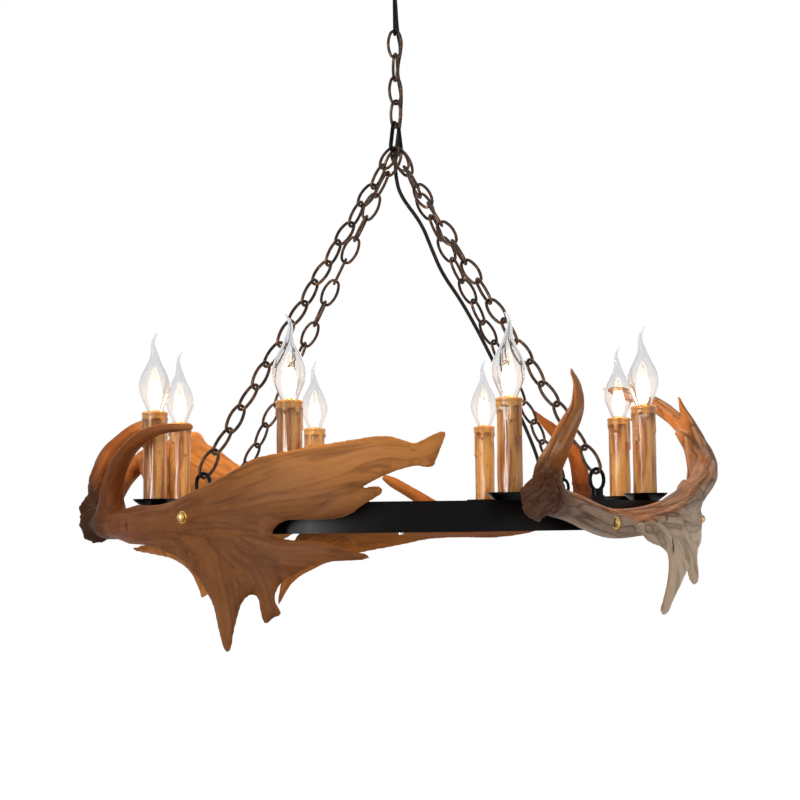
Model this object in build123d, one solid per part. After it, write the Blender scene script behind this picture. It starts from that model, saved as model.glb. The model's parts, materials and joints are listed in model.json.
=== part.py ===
from build123d import *
import math
import os

# Antler chandelier. Millimetres, +Z up. The origin is the middle of the ceiling canopy's top,
# where it meets the ceiling, and the lamp ring hangs below it. The front is at -Y.
# Angles round the ring start at the front and grow towards +X.

os.makedirs("parts", exist_ok=True)

# ---- driving dimensions ----
gap = 0.3  # running gap between pieces that aren't fastened flat to each other

ring_r = 300.0  # outer radius of the lamp ring
ring_width = 20.0  # the ring is a channel, open downwards
ring_height = 31.0
ring_wall = 2.0
cover_thick = 1.5
post_r = 3.2  # screw posts inside the channel, which the cover is screwed to
post_inset = 7.7  # from the ring's outer face to the posts' axes
post_circle_r = ring_r - post_inset
post_angles = [0, 90, 180, 270]
screw_r = 1.5

lamp_count = 8
lamp_circle_r = ring_r - ring_width / 2
leg_count = 4

link_wire = 3.5
leg_link_inner = 30.5  # clear length inside a leg-chain link
leg_link_width = 20.0  # outside width
leg_link_count = 16
drop_link_inner = 28.1
drop_link_width = 19.0
drop_link_count = 4
# The drop chain twists a little: each link's plane, in degrees about Z from the XZ plane.
drop_turns = [0, 108, 26, 136]
hub_turn = 70.0
connector_wire = 4.0  # the long link between the ceiling loop and the drop chain
connector_length = 60.0
connector_width = 22.0
hub_wire = 4.8  # the link that joins the four legs to the drop chain
hub_height = 34.3  # between wire centres
# Between the legs' first links, side by side on the hub's bar: wider legs cross it more slantingly.
hub_clear = 0.01 * lamp_circle_r
hub_spacing = link_wire + hub_clear
hub_bar_spare = 3.0  # straight bar beyond the outer legs
hub_corner_r = 5.0
hub_half_top = 8.2

eye_r = 11.2  # centre line of an eye bolt's ring
eye_wire = 4.0
eye_collar_r = 7.8
eye_collar_height = 5.0
eye_stud_r = 3.0
eye_neck = 16.3  # an eye bolt's ring stands this far above its collar, to the ring's middle
eye_neck_r = 6.2
loop_r = 9.0  # the same two for the ceiling loop
loop_neck = 9.0

strap_hole_spacing = 76.0
strap_hole_r = 2.3
strap_end = 10.0  # the strap runs on this far beyond its holes
strap_length = strap_hole_spacing + 2 * strap_end
strap_width = 18.0
strap_thick = 2.0
strap_drop = 12.0  # the strap's middle hangs this far below the ceiling
canopy_room = 12.0  # from the strap's ends to the canopy's rim
canopy_r = strap_length / 2 + canopy_room
canopy_depth = 28.0
canopy_wall = 1.5
loop_stud_r = 4.9

nipple_r = 4.9
nipple_bore_r = 3.0
nipple_drop = 10.0  # how far a lamp holder's nipple reaches below the ring's top
stem_r = 6.0
bulb_r = 17.5
bulb_cap_r = 6.7
cap_fit = 0.4  # between the bulb's cap and the socket's bore
socket_bore_r = bulb_cap_r + cap_fit
socket_wall = 3.9
socket_r = socket_bore_r + socket_wall
socket_depth = 20.0
socket_top = 95.0  # above the ring's top
sleeve_fit = 1.2  # between the socket and the sleeve that slips over it
sleeve_wall = 1.3
sleeve_r = socket_r + sleeve_fit + sleeve_wall
sleeve_top = 103.5
wax_thick = 1.1
wax_r = sleeve_r + wax_thick
wax_height = 13.0
dish_foot = 1.5  # flat of the dish that shows round the sleeve
dish_base_r = sleeve_r + dish_foot
dish_flare = 9.5
dish_r = dish_base_r + dish_flare
dish_rise = 8.0  # rim above the ring's top
dish_wall = 1.2

bulb_neck_r = 8.6
bulb_glass = 0.9
bulb_length = 88.0  # what stands above the sleeve, tail included
tail_turns = [10, 160, 205, 190, 150, 200, 170, 15]  # where each bulb's bent tail points

cable_r = 2.25
cable_exit_y = 17.0  # the cable leaves the canopy this far behind its middle
cable_entry_angle = 140.0  # where the cable goes into the ring
bushing_wall = 1.95
bushing_r = cable_r + bushing_wall
wiring_r = 2.2
wiring_circle_r = lamp_circle_r - 5.0
lead_r = 1.1

antler_ring_r = 300.0  # the antlers' points below are laid out round a ring of this radius
palm_stand = 17.0  # from the ring to the back of a palm
palm_thick = 10.0
bolt_r = 2.5
bolt_head_r = 5.2
washer_r = 6.6
washer_thick = 1.2
nut_r = bolt_r + 2.1
nut_thick = 4.0
level = 22.0  # antler heights are measured from this far below the ring's top
# Antler bolts. name: (angle, height above the datum, washer's seat beyond the ring)
bolt_places = {
    "left_front": [(-43, 9, 26)],
    "left_back": [(-127, 5, 26), (-146, 5, 26)],
    "right_front": [(42, -2, 27), (78, 1, 41)],
    "right_back": [(148, 2, 26), (171, -1, 26)],
}
bolts = {name: [(a, h, ring_r + s) for a, h, s in group] for name, group in bolt_places.items()}
all_bolts = [b for group in bolts.values() for b in group]

# ---- heights, from the ceiling down ----


def lap(wire_a, wire_b):
    """Distance between the centres of two wires hooked through each other."""
    return (wire_a + wire_b) / 2 + gap


loop_z = -(canopy_depth + eye_collar_height + loop_neck + eye_wire / 2)
loop_bottom_z = loop_z - loop_r
connector_top_z = loop_bottom_z + lap(eye_wire, connector_wire)
connector_bottom_z = connector_top_z - (connector_length - connector_wire)
drop_pitch = drop_link_inner - gap
drop_line = drop_link_inner + link_wire  # length of a drop link between wire centres
first_drop_top_z = connector_bottom_z + lap(connector_wire, link_wire)
last_drop_bottom_z = first_drop_top_z - (drop_link_count - 1) * drop_pitch - drop_line
hub_top_z = last_drop_bottom_z + lap(link_wire, hub_wire)
hub_bar_z = hub_top_z - hub_height

leg_line = (leg_link_count - 1) * (leg_link_inner - gap) + leg_link_inner + link_wire
hub_lap = lap(hub_wire, link_wire)
eye_lap = lap(eye_wire, link_wire)
leg_span = leg_line - hub_lap - eye_lap - 1.3  # bar to eye, with a little slack for the outer legs
eye_top_z = hub_bar_z - math.sqrt(leg_span**2 - lamp_circle_r**2)
ring_top = eye_top_z - eye_r - eye_neck - eye_collar_height
ring_bottom = ring_top - ring_height
datum = ring_top - level


def polar(radius, angle, z=0.0):
    """A point by its distance from the ring's axis, its angle and its height."""
    a = math.radians(angle)
    return Vector(radius * math.sin(a), -radius * math.cos(a), z)


def outward(angle):
    return polar(1, angle)


def radial_plane(radius, angle, z):
    """A plane that looks outwards from the ring's axis."""
    along = Vector(math.cos(math.radians(angle)), math.sin(math.radians(angle)), 0)
    return Plane(origin=polar(radius, angle, z), x_dir=along, z_dir=outward(angle))


def put(name, *shapes):
    """Writes one sub-part. Several shapes stay separate solids in one node."""
    solids = [s for shape in shapes for s in shape.solids()]
    part = solids[0] if len(solids) == 1 else Compound(children=solids)
    part.label = name
    export_step(part, f"parts/{name}.step")


def pipe(z_low, z_high, outer, inner, x=0.0, y=0.0):
    """An upright tube."""
    body = Cylinder(outer, z_high - z_low) - Cylinder(inner, z_high - z_low + 2)
    return Pos(x, y, (z_low + z_high) / 2) * body


def rod(z_low, z_high, radius, x=0.0, y=0.0):
    return Pos(x, y, (z_low + z_high) / 2) * Cylinder(radius, z_high - z_low)


# ---- chain links ----


def oval_link(length, width, wire):
    """A link of round wire, long side along Z, flat in XZ, made of four tangent arcs."""
    half_length = (length - wire) / 2
    half_width = (width - wire) / 2
    end_r = 0.74 * half_width
    rise = half_length - end_r
    side_r = (half_width**2 + rise**2 - end_r**2) / (2 * (half_width - end_r))
    side_x = half_width - side_r
    share = (side_r) / (side_r - end_r)
    joint = Vector(side_x + (0 - side_x) * share, 0, rise * share)
    right_low = (joint.X, 0, -joint.Z)
    right_high = (joint.X, 0, joint.Z)
    left_low = (-joint.X, 0, -joint.Z)
    left_high = (-joint.X, 0, joint.Z)
    line = Wire(
        [
            ThreePointArc(right_low, (half_width, 0, 0), right_high).edge(),
            ThreePointArc(right_high, (0, 0, half_length), left_high).edge(),
            ThreePointArc(left_high, (-half_width, 0, 0), left_low).edge(),
            ThreePointArc(left_low, (0, 0, -half_length), right_low).edge(),
        ]
    )
    start = Plane(origin=right_low, z_dir=line.tangent_at(0))
    return sweep(start * Circle(wire / 2), path=line)


leg_link = oval_link(leg_link_inner + 2 * link_wire, leg_link_width, link_wire)
drop_link = oval_link(drop_link_inner + 2 * link_wire, drop_link_width, link_wire)


def hub():
    """A three-sided link: a narrow top for the drop chain and a straight bar for the four legs."""
    straight = (leg_count - 1) * hub_spacing + link_wire + 2 * gap + 2 * hub_bar_spare
    half_bar = straight / 2 + hub_corner_r
    line = FilletPolyline(
        (half_bar, 0, 0),
        (hub_half_top, 0, hub_height),
        (-hub_half_top, 0, hub_height),
        (-half_bar, 0, 0),
        radius=hub_corner_r,
        close=True,
    )
    start = Plane(origin=line.position_at(0), z_dir=line.tangent_at(0))
    body = sweep(start * Circle(hub_wire / 2), path=line)
    return Pos(0, 0, hub_bar_z) * Rot(0, 0, hub_turn) * body


def leg_angle(k):
    return 45 + 90 * k


hub_bar_dir = Vector(math.cos(math.radians(hub_turn)), math.sin(math.radians(hub_turn)), 0)
# The legs lie side by side on the bar, the two rear ones towards its rear end.
bar_place = {45: -0.5, 135: 1.5, 225: 0.5, 315: -1.5}


def leg_ends(angle):
    """Where a leg's chain meets the hub's bar and the top of its eye."""
    start = Vector(0, 0, hub_bar_z) + hub_bar_dir * (bar_place[angle] * hub_spacing)
    return start, polar(lamp_circle_r, angle, eye_top_z)


def leg_chain(angle):
    """Sixteen links in a taut line, each turned a quarter about it, with a slight steady twist."""
    start, end = leg_ends(angle)
    way = (end - start).normalized()
    # A leg that leans along the bar crosses it at a slant, so its link reaches further over.
    first = start - way * (hub_lap / way.cross(hub_bar_dir).length)
    last = end + way * eye_lap
    line = leg_link_inner + link_wire
    pitch = ((last - first).length - line) / (leg_link_count - 1)
    normal = (hub_bar_dir - way * hub_bar_dir.dot(way)).normalized()
    side = way.cross(normal)
    level_dir = way.cross(Vector(0, 0, 1)).normalized()
    wanted = math.degrees(math.atan2(level_dir.dot(side), level_dir.dot(normal)))
    twist = (wanted - 90 * (leg_link_count - 1) + 90) % 180 - 90
    links = []
    for i in range(leg_link_count):
        turn = math.radians(90 * i + twist * i / (leg_link_count - 1))
        face = normal * math.cos(turn) + side * math.sin(turn)
        middle = first + way * (line / 2 + pitch * i)
        frame = Plane(origin=middle, x_dir=face.cross(way), z_dir=face)
        links.append(frame.location * Rot(90, 0, 0) * leg_link)
    return links


# ---- ceiling fitting ----


def canopy():
    outline = Polyline(
        (loop_stud_r + gap, -canopy_depth),
        (0.62 * canopy_r, -canopy_depth),
        (0.9 * canopy_r, -0.62 * canopy_depth),
        (canopy_r, -3),
        (canopy_r, 0),
        (canopy_r - canopy_wall, 0),
        (canopy_r - canopy_wall, -3),
        (0.9 * canopy_r - canopy_wall, -0.6 * canopy_depth),
        (0.6 * canopy_r, -canopy_depth + canopy_wall),
        (loop_stud_r + gap, -canopy_depth + canopy_wall),
        close=True,
    )
    body = revolve(Plane.XZ * make_face(outline), Axis.Z)
    hole = Pos(0, cable_exit_y, -canopy_depth) * Cylinder(bushing_r, 20)
    return body - hole


def bushing():
    body = pipe(-canopy_depth - 3, -canopy_depth + canopy_wall + 2, bushing_r - 0.1, cable_r + 0.2)
    flange = pipe(-canopy_depth - 3, -canopy_depth - gap, bushing_r + 2, cable_r + 0.2)
    return Pos(0, cable_exit_y, 0) * (body + flange)


def strap():
    foot = strap_length / 2
    inner = strap_hole_spacing / 2 - 16  # half of the strap's lowered middle
    profile = Polyline(
        (-foot, 0),
        (-inner - 8, 0),
        (-inner, -strap_drop + strap_thick),
        (inner, -strap_drop + strap_thick),
        (inner + 8, 0),
        (foot, 0),
        (foot, -strap_thick),
        (inner + 9, -strap_thick),
        (inner + 1, -strap_drop),
        (-inner - 1, -strap_drop),
        (-inner - 9, -strap_thick),
        (-foot, -strap_thick),
        close=True,
    )
    body = extrude(Plane.XZ * make_face(profile), strap_width / 2, both=True)
    body -= Pos(0, 0, -strap_drop) * Cylinder(loop_stud_r + gap, 20)
    for side in (-1, 1):
        body -= Pos(side * strap_hole_spacing / 2, 0, 0) * Cylinder(strap_hole_r, 20)
    return body


def ceiling_loop():
    """The eye hangs below the canopy, and its stud goes up through canopy and strap."""
    ring = Pos(0, 0, loop_z) * Rot(90, 0, 0) * Torus(loop_r, eye_wire / 2)
    collar_top = -canopy_depth
    neck = rod(loop_z + loop_r - 0.5, collar_top - eye_collar_height + 0.5, eye_wire / 2 + 1)
    collar = Pos(0, 0, collar_top - eye_collar_height / 2) * extrude(
        RegularPolygon(eye_collar_r, 6), eye_collar_height / 2, both=True
    )
    stud = rod(collar_top - 0.5, -3.0, loop_stud_r)
    return ring + neck + collar + stud


def hex_nut(across_r, bore_r, thick):
    """A nut whose lower face is at z=0."""
    return extrude(RegularPolygon(across_r, 6), thick) - Cylinder(bore_r, 4 * thick)


def loop_nuts():
    upper = Pos(0, 0, -strap_drop + strap_thick) * hex_nut(loop_stud_r + 3.6, loop_stud_r + 0.1, 4)
    lower = Pos(0, 0, -strap_drop - 4) * hex_nut(loop_stud_r + 3.6, loop_stud_r + 0.1, 4)
    inside = Pos(0, 0, -canopy_depth + canopy_wall) * hex_nut(loop_stud_r + 3.6, loop_stud_r + 0.1, 4)
    return [upper, lower, inside]


def terminal_block():
    """Screw terminals under the strap, where the cable's cores end."""
    body = Box(24, 12, 9)
    for x in (-7.5, 0, 7.5):
        body -= Pos(x, 0, 0) * Rot(90, 0, 0) * Cylinder(1.5, 30)
    return Pos(0, cable_exit_y + 8, -canopy_depth + canopy_wall + 4.5 + 4) * body


# ---- lamp ring ----


def lamp_angle(k):
    return 22.5 + 360 / lamp_count * k


def ring_channel():
    inner_r = ring_r - ring_width
    middle_z = ring_top - ring_height / 2
    body = Pos(0, 0, middle_z) * (Cylinder(ring_r, ring_height) - Cylinder(inner_r, ring_height + 2))
    hollow_z = ring_top - ring_wall - ring_height / 2
    hollow = Cylinder(ring_r - ring_wall, ring_height) - Cylinder(inner_r + ring_wall, ring_height + 2)
    body -= Pos(0, 0, hollow_z) * hollow
    for angle in post_angles:
        p = polar(post_circle_r, angle)
        post = rod(ring_bottom + cover_thick, ring_top - ring_wall + 0.5, post_r, p.X, p.Y)
        body += post - rod(ring_bottom - 1, ring_bottom + 12, screw_r + 0.2, p.X, p.Y)
    for k in range(lamp_count):
        p = polar(lamp_circle_r, lamp_angle(k))
        body -= rod(ring_top - 6, ring_top + 6, nipple_r + gap, p.X, p.Y)
    for k in range(leg_count):
        p = polar(lamp_circle_r, leg_angle(k))
        body -= rod(ring_top - 6, ring_top + 6, eye_stud_r + gap, p.X, p.Y)
    for angle, height, seat in all_bolts:
        hole = radial_plane(ring_r, angle, datum + height)
        body -= hole.location * Cylinder(bolt_r + gap, 12)
    entry = polar(lamp_circle_r, cable_entry_angle)
    body -= rod(ring_top - 6, ring_top + 6, cable_r + gap, entry.X, entry.Y)
    return body


def ring_cover():
    outer = ring_r - ring_wall - gap
    inner = ring_r - ring_width + ring_wall + gap
    z = ring_bottom + cover_thick / 2
    body = Pos(0, 0, z) * (Cylinder(outer, cover_thick) - Cylinder(inner, cover_thick + 2))
    for angle in post_angles:
        p = polar(post_circle_r, angle)
        body -= rod(z - 4, z + 4, screw_r + 0.2, p.X, p.Y)
    return body


def cover_screws():
    screws = []
    for angle in post_angles:
        p = polar(post_circle_r, angle)
        shank = rod(ring_bottom - 1, ring_bottom + 9, screw_r, p.X, p.Y)
        head = rod(ring_bottom - 1.8, ring_bottom, 2.9, p.X, p.Y)
        screws.append(shank + head)
    return screws


def eye_bolt(angle):
    """An eye bolt on the ring's top, its ring facing outwards, with a nut under the plate."""
    stud = rod(-9, 0.5, eye_stud_r)
    ring_z = eye_collar_height + eye_neck
    ring = Pos(0, 0, ring_z) * Rot(90, 0, 0) * Torus(eye_r, eye_wire / 2)
    neck = rod(eye_collar_height - 0.5, ring_z - eye_r + 1.5, eye_neck_r)
    collar = extrude(RegularPolygon(eye_collar_r, 6), eye_collar_height)
    body = stud + ring + neck + collar
    nut = Pos(0, 0, -ring_wall - 3.2) * hex_nut(eye_stud_r + 2.8, eye_stud_r + 0.1, 3.2)
    place = Pos(polar(lamp_circle_r, angle, ring_top)) * Rot(0, 0, angle)
    return [place * body, place * nut]


def wiring():
    """A loop of lead inside the channel, with a branch up into each lamp holder."""
    loop_height = ring_bottom + cover_thick + wiring_r + 2
    body = Pos(0, 0, loop_height) * Torus(wiring_circle_r, wiring_r)
    for k in range(lamp_count):
        angle = lamp_angle(k)
        start = polar(wiring_circle_r, angle, loop_height)
        knee = polar(lamp_circle_r, angle, loop_height)
        top = polar(lamp_circle_r, angle, ring_top + 20)
        branch = sweep(
            Plane(origin=start, z_dir=outward(angle)) * Circle(lead_r),
            path=FilletPolyline(start, knee, top, radius=2.5),
        )
        body += branch
    return body


# ---- lamps ----


def dish(x, y):
    profile = Polyline(
        (nipple_r + gap, 0),
        (dish_base_r, 0),
        (dish_r - 1.5, dish_rise - 2),
        (dish_r, dish_rise),
        (dish_r - dish_wall, dish_rise),
        (dish_r - 1.5 - dish_wall, dish_rise - 1.4),
        (dish_base_r - 0.4, dish_wall),
        (nipple_r + gap, dish_wall),
        close=True,
    )
    return Pos(x, y, ring_top) * revolve(Plane.XZ * make_face(profile), Axis.Z)


def holder(x, y):
    """Threaded nipple, foot, stem and socket in one turned body."""
    foot_low = dish_wall
    socket_low = socket_top - socket_depth - 5
    profile = Polyline(
        (nipple_bore_r, -nipple_drop),
        (nipple_r, -nipple_drop),
        (nipple_r, foot_low),
        (sleeve_r - sleeve_wall - gap, foot_low),
        (sleeve_r - sleeve_wall - gap, foot_low + 3),
        (stem_r, foot_low + 6),
        (stem_r, socket_low - 4),
        (socket_r, socket_low),
        (socket_r, socket_top),
        (socket_bore_r, socket_top),
        (socket_bore_r, socket_top - socket_depth),
        (nipple_bore_r, socket_top - socket_depth),
        close=True,
    )
    return Pos(x, y, ring_top) * revolve(Plane.XZ * make_face(profile), Axis.Z)


def sleeve(x, y):
    """A candle tube with a thick waxy rim. It stands in the dish round the holder's foot."""
    inner = sleeve_r - sleeve_wall
    profile = Polyline(
        (inner, dish_wall + gap),
        (sleeve_r, dish_wall + gap),
        (sleeve_r, sleeve_top - wax_height),
        (wax_r, sleeve_top - wax_height + 4),
        (wax_r, sleeve_top - 1.5),
        (sleeve_r, sleeve_top),
        (inner, sleeve_top),
        close=True,
    )
    return Pos(x, y, ring_top) * revolve(Plane.XZ * make_face(profile), Axis.Z)


def bulb(x, y, turn):
    """Glass envelope with its bent tail, a screw cap and a glass stem that carries the filament."""
    neck_z = socket_top + 1
    mid_z = sleeve_top + 27
    tail_z = sleeve_top + 62
    tip_z = sleeve_top + bulb_length
    cap_low = socket_top - socket_depth + 2
    outer = [
        Line((0, neck_z), (bulb_neck_r, neck_z)),
        Line((bulb_neck_r, neck_z), (bulb_neck_r, sleeve_top - 2)),
        Spline(
            (bulb_neck_r, sleeve_top - 2),
            (bulb_r, mid_z),
            (9.5, sleeve_top + 49),
            (3.2, tail_z),
            tangents=((0.5, 1), (-0.25, 1)),
        ),
        Line((3.2, tail_z), (0, tail_z)),
        Line((0, tail_z), (0, neck_z)),
    ]
    body = revolve(Plane.XZ * make_face(outer), Axis.Z)
    room = loft(
        [
            Pos(0, 0, sleeve_top + 4) * Circle(bulb_neck_r - 2.5),
            Pos(0, 0, mid_z) * Circle(bulb_r - bulb_glass - 0.8),
            Pos(0, 0, sleeve_top + 50) * Circle(7),
        ]
    )
    tail = loft(
        [
            Pos(0, 0, tail_z - 1) * Circle(3.2),
            Pos(1.8, 0, tail_z + 9) * Circle(2.2),
            Pos(1.2, 0, tail_z + 18) * Circle(1.6),
            Pos(-3.5, 0, tip_z) * Circle(0.8),
        ]
    )
    glass = body - room + tail
    cap = rod(cap_low, neck_z, bulb_cap_r)
    stem = rod(sleeve_top + 4.0 + gap, mid_z + 6, 1.6)
    place = Pos(x, y, ring_top) * Rot(0, 0, turn)
    return [place * glass, place * cap, place * stem]


def lamp_nut(x, y):
    return Pos(x, y, ring_top - ring_wall - 3) * hex_nut(nipple_r + 3.1, nipple_r + 0.1, 3)


# ---- supply cable ----


def cable_route():
    """From the terminals in the canopy, down behind the drop chain and along the far-right leg."""
    start, end = leg_ends(135)
    way = (end - start).normalized()
    under = Vector(-math.sin(math.radians(135)), math.cos(math.radians(135)), 0)
    low = (under - way * under.dot(way)).normalized()
    points = [Vector(0, cable_exit_y, -canopy_depth + canopy_wall + 3.5)]
    points.append(Vector(0, cable_exit_y, -canopy_depth - 14))
    side_steps = [(1.5, 15.5, -66), (3, 15, -98), (7.5, 14.5, -118), (4, 14.3, -133), (2.4, 14.2, -147)]
    side_steps += [(4.5, 14.2, -160), (7, 14.2, -174), (6, 14.3, -188), (5.6, 14.8, -202), (3, 17, -218)]
    side_steps += [(-1, 23.5, -246), (-1, 25.5, -268), (4, 24, -292)]
    points += [Vector(*p) for p in side_steps]
    offsets = [(84, 18), (116, 22), (150, 25), (188, 18), (228, 14.8), (268, 14.5)]
    offsets += [(308, 14.8), (348, 15), (388, 16.5), (424, 21)]
    points += [start + way * s + low * o for s, o in offsets]
    entry = polar(lamp_circle_r, cable_entry_angle)
    points.append(Vector(entry.X - 9, entry.Y - 3, ring_top + 50))
    points.append(Vector(entry.X, entry.Y, ring_top + 24))
    points.append(Vector(entry.X, entry.Y, ring_bottom + cover_thick + 2 * wiring_r + 3))
    return points


def cable():
    """A tube of straight runs joined by arcs as large as the runs allow."""
    points = cable_route()
    radii = []
    for before, here, after in zip(points, points[1:], points[2:]):
        turn = math.radians((here - before).get_angle(after - here))
        shorter = min((here - before).length, (after - here).length)
        radii.append(round(0.45 * shorter / math.tan(turn / 2), 2))
    print("cable radii", [round(r) for r in radii])
    line = FilletPolyline(*points, radius=radii)
    body = sweep(Plane(origin=points[0], z_dir=line.tangent_at(0)) * Circle(cable_r), path=line)
    ratio = body.volume / (line.length * math.pi * cable_r**2)
    print("cable length", round(line.length), "volume against length", round(ratio, 4))
    return body


# ---- antlers ----


def spread(x, y):
    """Moves a point of an antler outwards by as much as the ring is larger than antler_ring_r."""
    k = 1 + (ring_r - antler_ring_r) / math.hypot(x, y)
    return x * k, y * k


def limb(stations):
    """A smooth tapering limb. Each station is x, y, height above the datum, and its half widths
    outwards and upwards."""
    points = [Vector(*spread(s[0], s[1]), datum + s[2]) for s in stations]
    sections = []
    for i, point in enumerate(points):
        tangent = points[min(i + 1, len(points) - 1)] - points[max(i - 1, 0)]
        tangent = tangent.normalized()
        out = Vector(point.X, point.Y, 0)
        out = (out - tangent * out.dot(tangent)).normalized()
        sections.append(Plane(origin=point, x_dir=out, z_dir=tangent) * Ellipse(*stations[i][3:]))
    return loft(sections)


def palm(outline, facing, stand=palm_stand):
    """The broad flat of an antler: an outline laid on a drum round the ring, from one side."""
    inner = ring_r + stand
    outer = inner + palm_thick
    wider = inner / (antler_ring_r + stand)
    flat = make_face(Polyline(*[(u * wider, datum + z) for u, z in outline], close=True))
    block = extrude(Plane.XZ * flat, ring_r + 100)
    tall = 300.0
    wall = Cylinder(outer, tall) - Cylinder(inner, tall + 2)
    return Rot(0, 0, facing) * (block & (Pos(0, 0, datum) * wall))


def burr(x, y, z, toward, radius=21.0, thick=12.0):
    """The knobbly crown at an antler's root."""
    plane = Plane(origin=(*spread(x, y), datum + z), z_dir=toward)
    crown = plane.location * Torus(radius - thick / 2, thick / 2)
    face = plane.location * Cylinder(radius - thick / 2, thick - 3)
    return crown + face


def bolt_boss(angle, height, seat, inner=ring_r + gap):
    """Solid antler round a bolt, from the ring out to the washer."""
    plane = radial_plane((inner + seat) / 2, angle, datum + height)
    return plane.location * Cylinder(9.0, seat - inner)


def bolt_cuts(name):
    """Clearance hole and flat seat for each of an antler's bolts."""
    cuts = []
    for angle, height, seat in bolts[name]:
        hole = radial_plane(ring_r + 20, angle, datum + height)
        flat = radial_plane(seat + 10, angle, datum + height)
        cuts.append(hole.location * Cylinder(bolt_r + gap, 80))
        cuts.append(flat.location * Cylinder(washer_r + gap, 20))
    return cuts


def finish_antler(name, *pieces):
    """Joins an antler's limbs, keeps it clear of the ring and drills it."""
    body = pieces[0]
    for piece in pieces[1:]:
        body = body + piece
    clearance = Pos(0, 0, ring_top - ring_height / 2) * Cylinder(ring_r + gap, ring_height + 2 * gap)
    body = body - clearance
    for cut in bolt_cuts(name):
        body = body - cut
    return max(body.solids(), key=lambda s: s.volume)


left_front_outline = [
    (-285, 20), (-267, 17), (-248, 19), (-226, 29), (-200, 40), (-167, 55), (-145, 67),
    (-119, 71), (-93, 76), (-57, 81), (-15, 87), (13, 81), (41, 89), (28, 56), (15, 56),
    (-7, 51), (-33, 39), (-45, 32), (-23, 37), (-18, 31), (-37, 19), (-50, 9), (-68, 5),
    (-108, 6), (-119, 3), (-127, -4), (-127, -12), (-114, -15), (-78, -16), (-52, -26),
    (-34, -32), (-65, -36), (-83, -38), (-108, -50), (-121, -58), (-127, -73), (-120, -90),
    (-135, -98), (-141, -71), (-149, -70), (-159, -76), (-164, -90), (-168, -105),
    (-171, -125), (-180, -118), (-185, -97), (-189, -79), (-198, -64), (-209, -49),
    (-226, -33), (-248, -24), (-271, -17), (-296, -11),
]


def antler_left_front():
    beam = limb(
        [
            (-337, -58, 4, 14, 14),
            (-319, -88, 3, 15, 15),
            (-286, -140, 2, 14.5, 14.5),
            (-247, -194, 3, 13.5, 14.5),
            (-202, -240, 4, 13, 14.5),
            (-158, -270, 2, 12, 12),
            (-136, -281, 0, 8, 6),
        ]
    )
    tine = limb(
        [
            (-322, -80, 6, 15, 15),
            (-318, -92, 44, 12, 12),
            (-304, -112, 74, 10, 10),
            (-282, -134, 94, 7.5, 7.5),
            (-258, -148, 104, 6, 6),
            (-224, -154, 106, 4, 4),
        ]
    )
    root = burr(-340, -52, 3, (-0.25, 0.97, 0))
    bosses = [bolt_boss(*b) for b in bolts["left_front"]]
    return finish_antler("left_front", beam, palm(left_front_outline, 0), tine, root, *bosses)


left_back_outline = [
    (-316, 84), (-304, 98), (-274, 112), (-260, 120), (-252, 117), (-246, 103), (-234, 99),
    (-216, 82), (-182, 62), (-133, 34), (-93, 13), (-133, -6), (-166, -26), (-171, -85),
    (-176, -124), (-181, -104), (-186, -88), (-200, -80), (-218, -76), (-241, -83),
    (-252, -92), (-254, -80), (-263, -57), (-280, -40), (-301, -33), (-318, -27),
    (-303, -20), (-296, -4), (-301, 34), (-310, 61),
]


def antler_left_back():
    beam = limb(
        [
            (-351, 34, 20, 14, 14),
            (-345, 62, 34, 14.5, 14.5),
            (-334, 96, 60, 13, 13),
            (-316, 134, 80, 11.5, 12),
            (-290, 165, 82, 10, 14),
            (-258, 194, 72, 8, 14),
            (-224, 226, 56, 5, 10),
        ]
    )
    rib = limb(
        [
            (-281, 156, 6, 8, 8),
            (-252, 187, 5, 12.5, 13),
            (-213, 230, 5, 12.5, 13),
            (-172, 262, 4, 12, 12),
            (-140, 280, 2, 7, 7),
        ]
    )
    tine = limb(
        [
            (-350, 40, 24, 14, 14),
            (-355, 32, 52, 10.5, 10.5),
            (-345, 34, 84, 8.5, 8.5),
            (-324, 38, 106, 7.5, 7.5),
            (-302, 42, 120, 6, 6),
            (-284, 46, 130, 3, 3),
        ]
    )
    plate = palm([(-u, z) for u, z in left_back_outline], 180)
    root = burr(-353, 26, 17, (-0.2, -0.95, -0.25), radius=23.0)
    bosses = [bolt_boss(*b) for b in bolts["left_back"]]
    return finish_antler("left_back", beam, plate, rib, tine, root, *bosses)


# Laid out facing 72 degrees, on a drum a little wider than the ring.
right_low_outline = [
    (-142, 4), (-138, -19), (-125, -24), (-108, -28), (-92, -34), (-88, -44), (-90, -58),
    (-99, -77), (-109, -91), (-106, -97), (-98, -93), (-86, -84), (-74, -76), (-55, -62),
    (-34, -50), (-27, -52), (-22, -60), (-14, -68), (-5, -67), (-2, -56), (4, -40), (20, -30),
    (90, -22), (140, -22), (172, -4), (182, 22), (160, 48), (110, 46), (60, 34), (0, 26),
    (-60, 14),
]
# Laid out facing 103 degrees: the web behind the beam's upper bend.
right_high_outline = [
    (-70, 44), (-30, 38), (-6, 44), (-9, 58), (-9, 71), (0, 84), (14, 96), (26, 108),
    (8, 106), (-30, 84),
]


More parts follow.
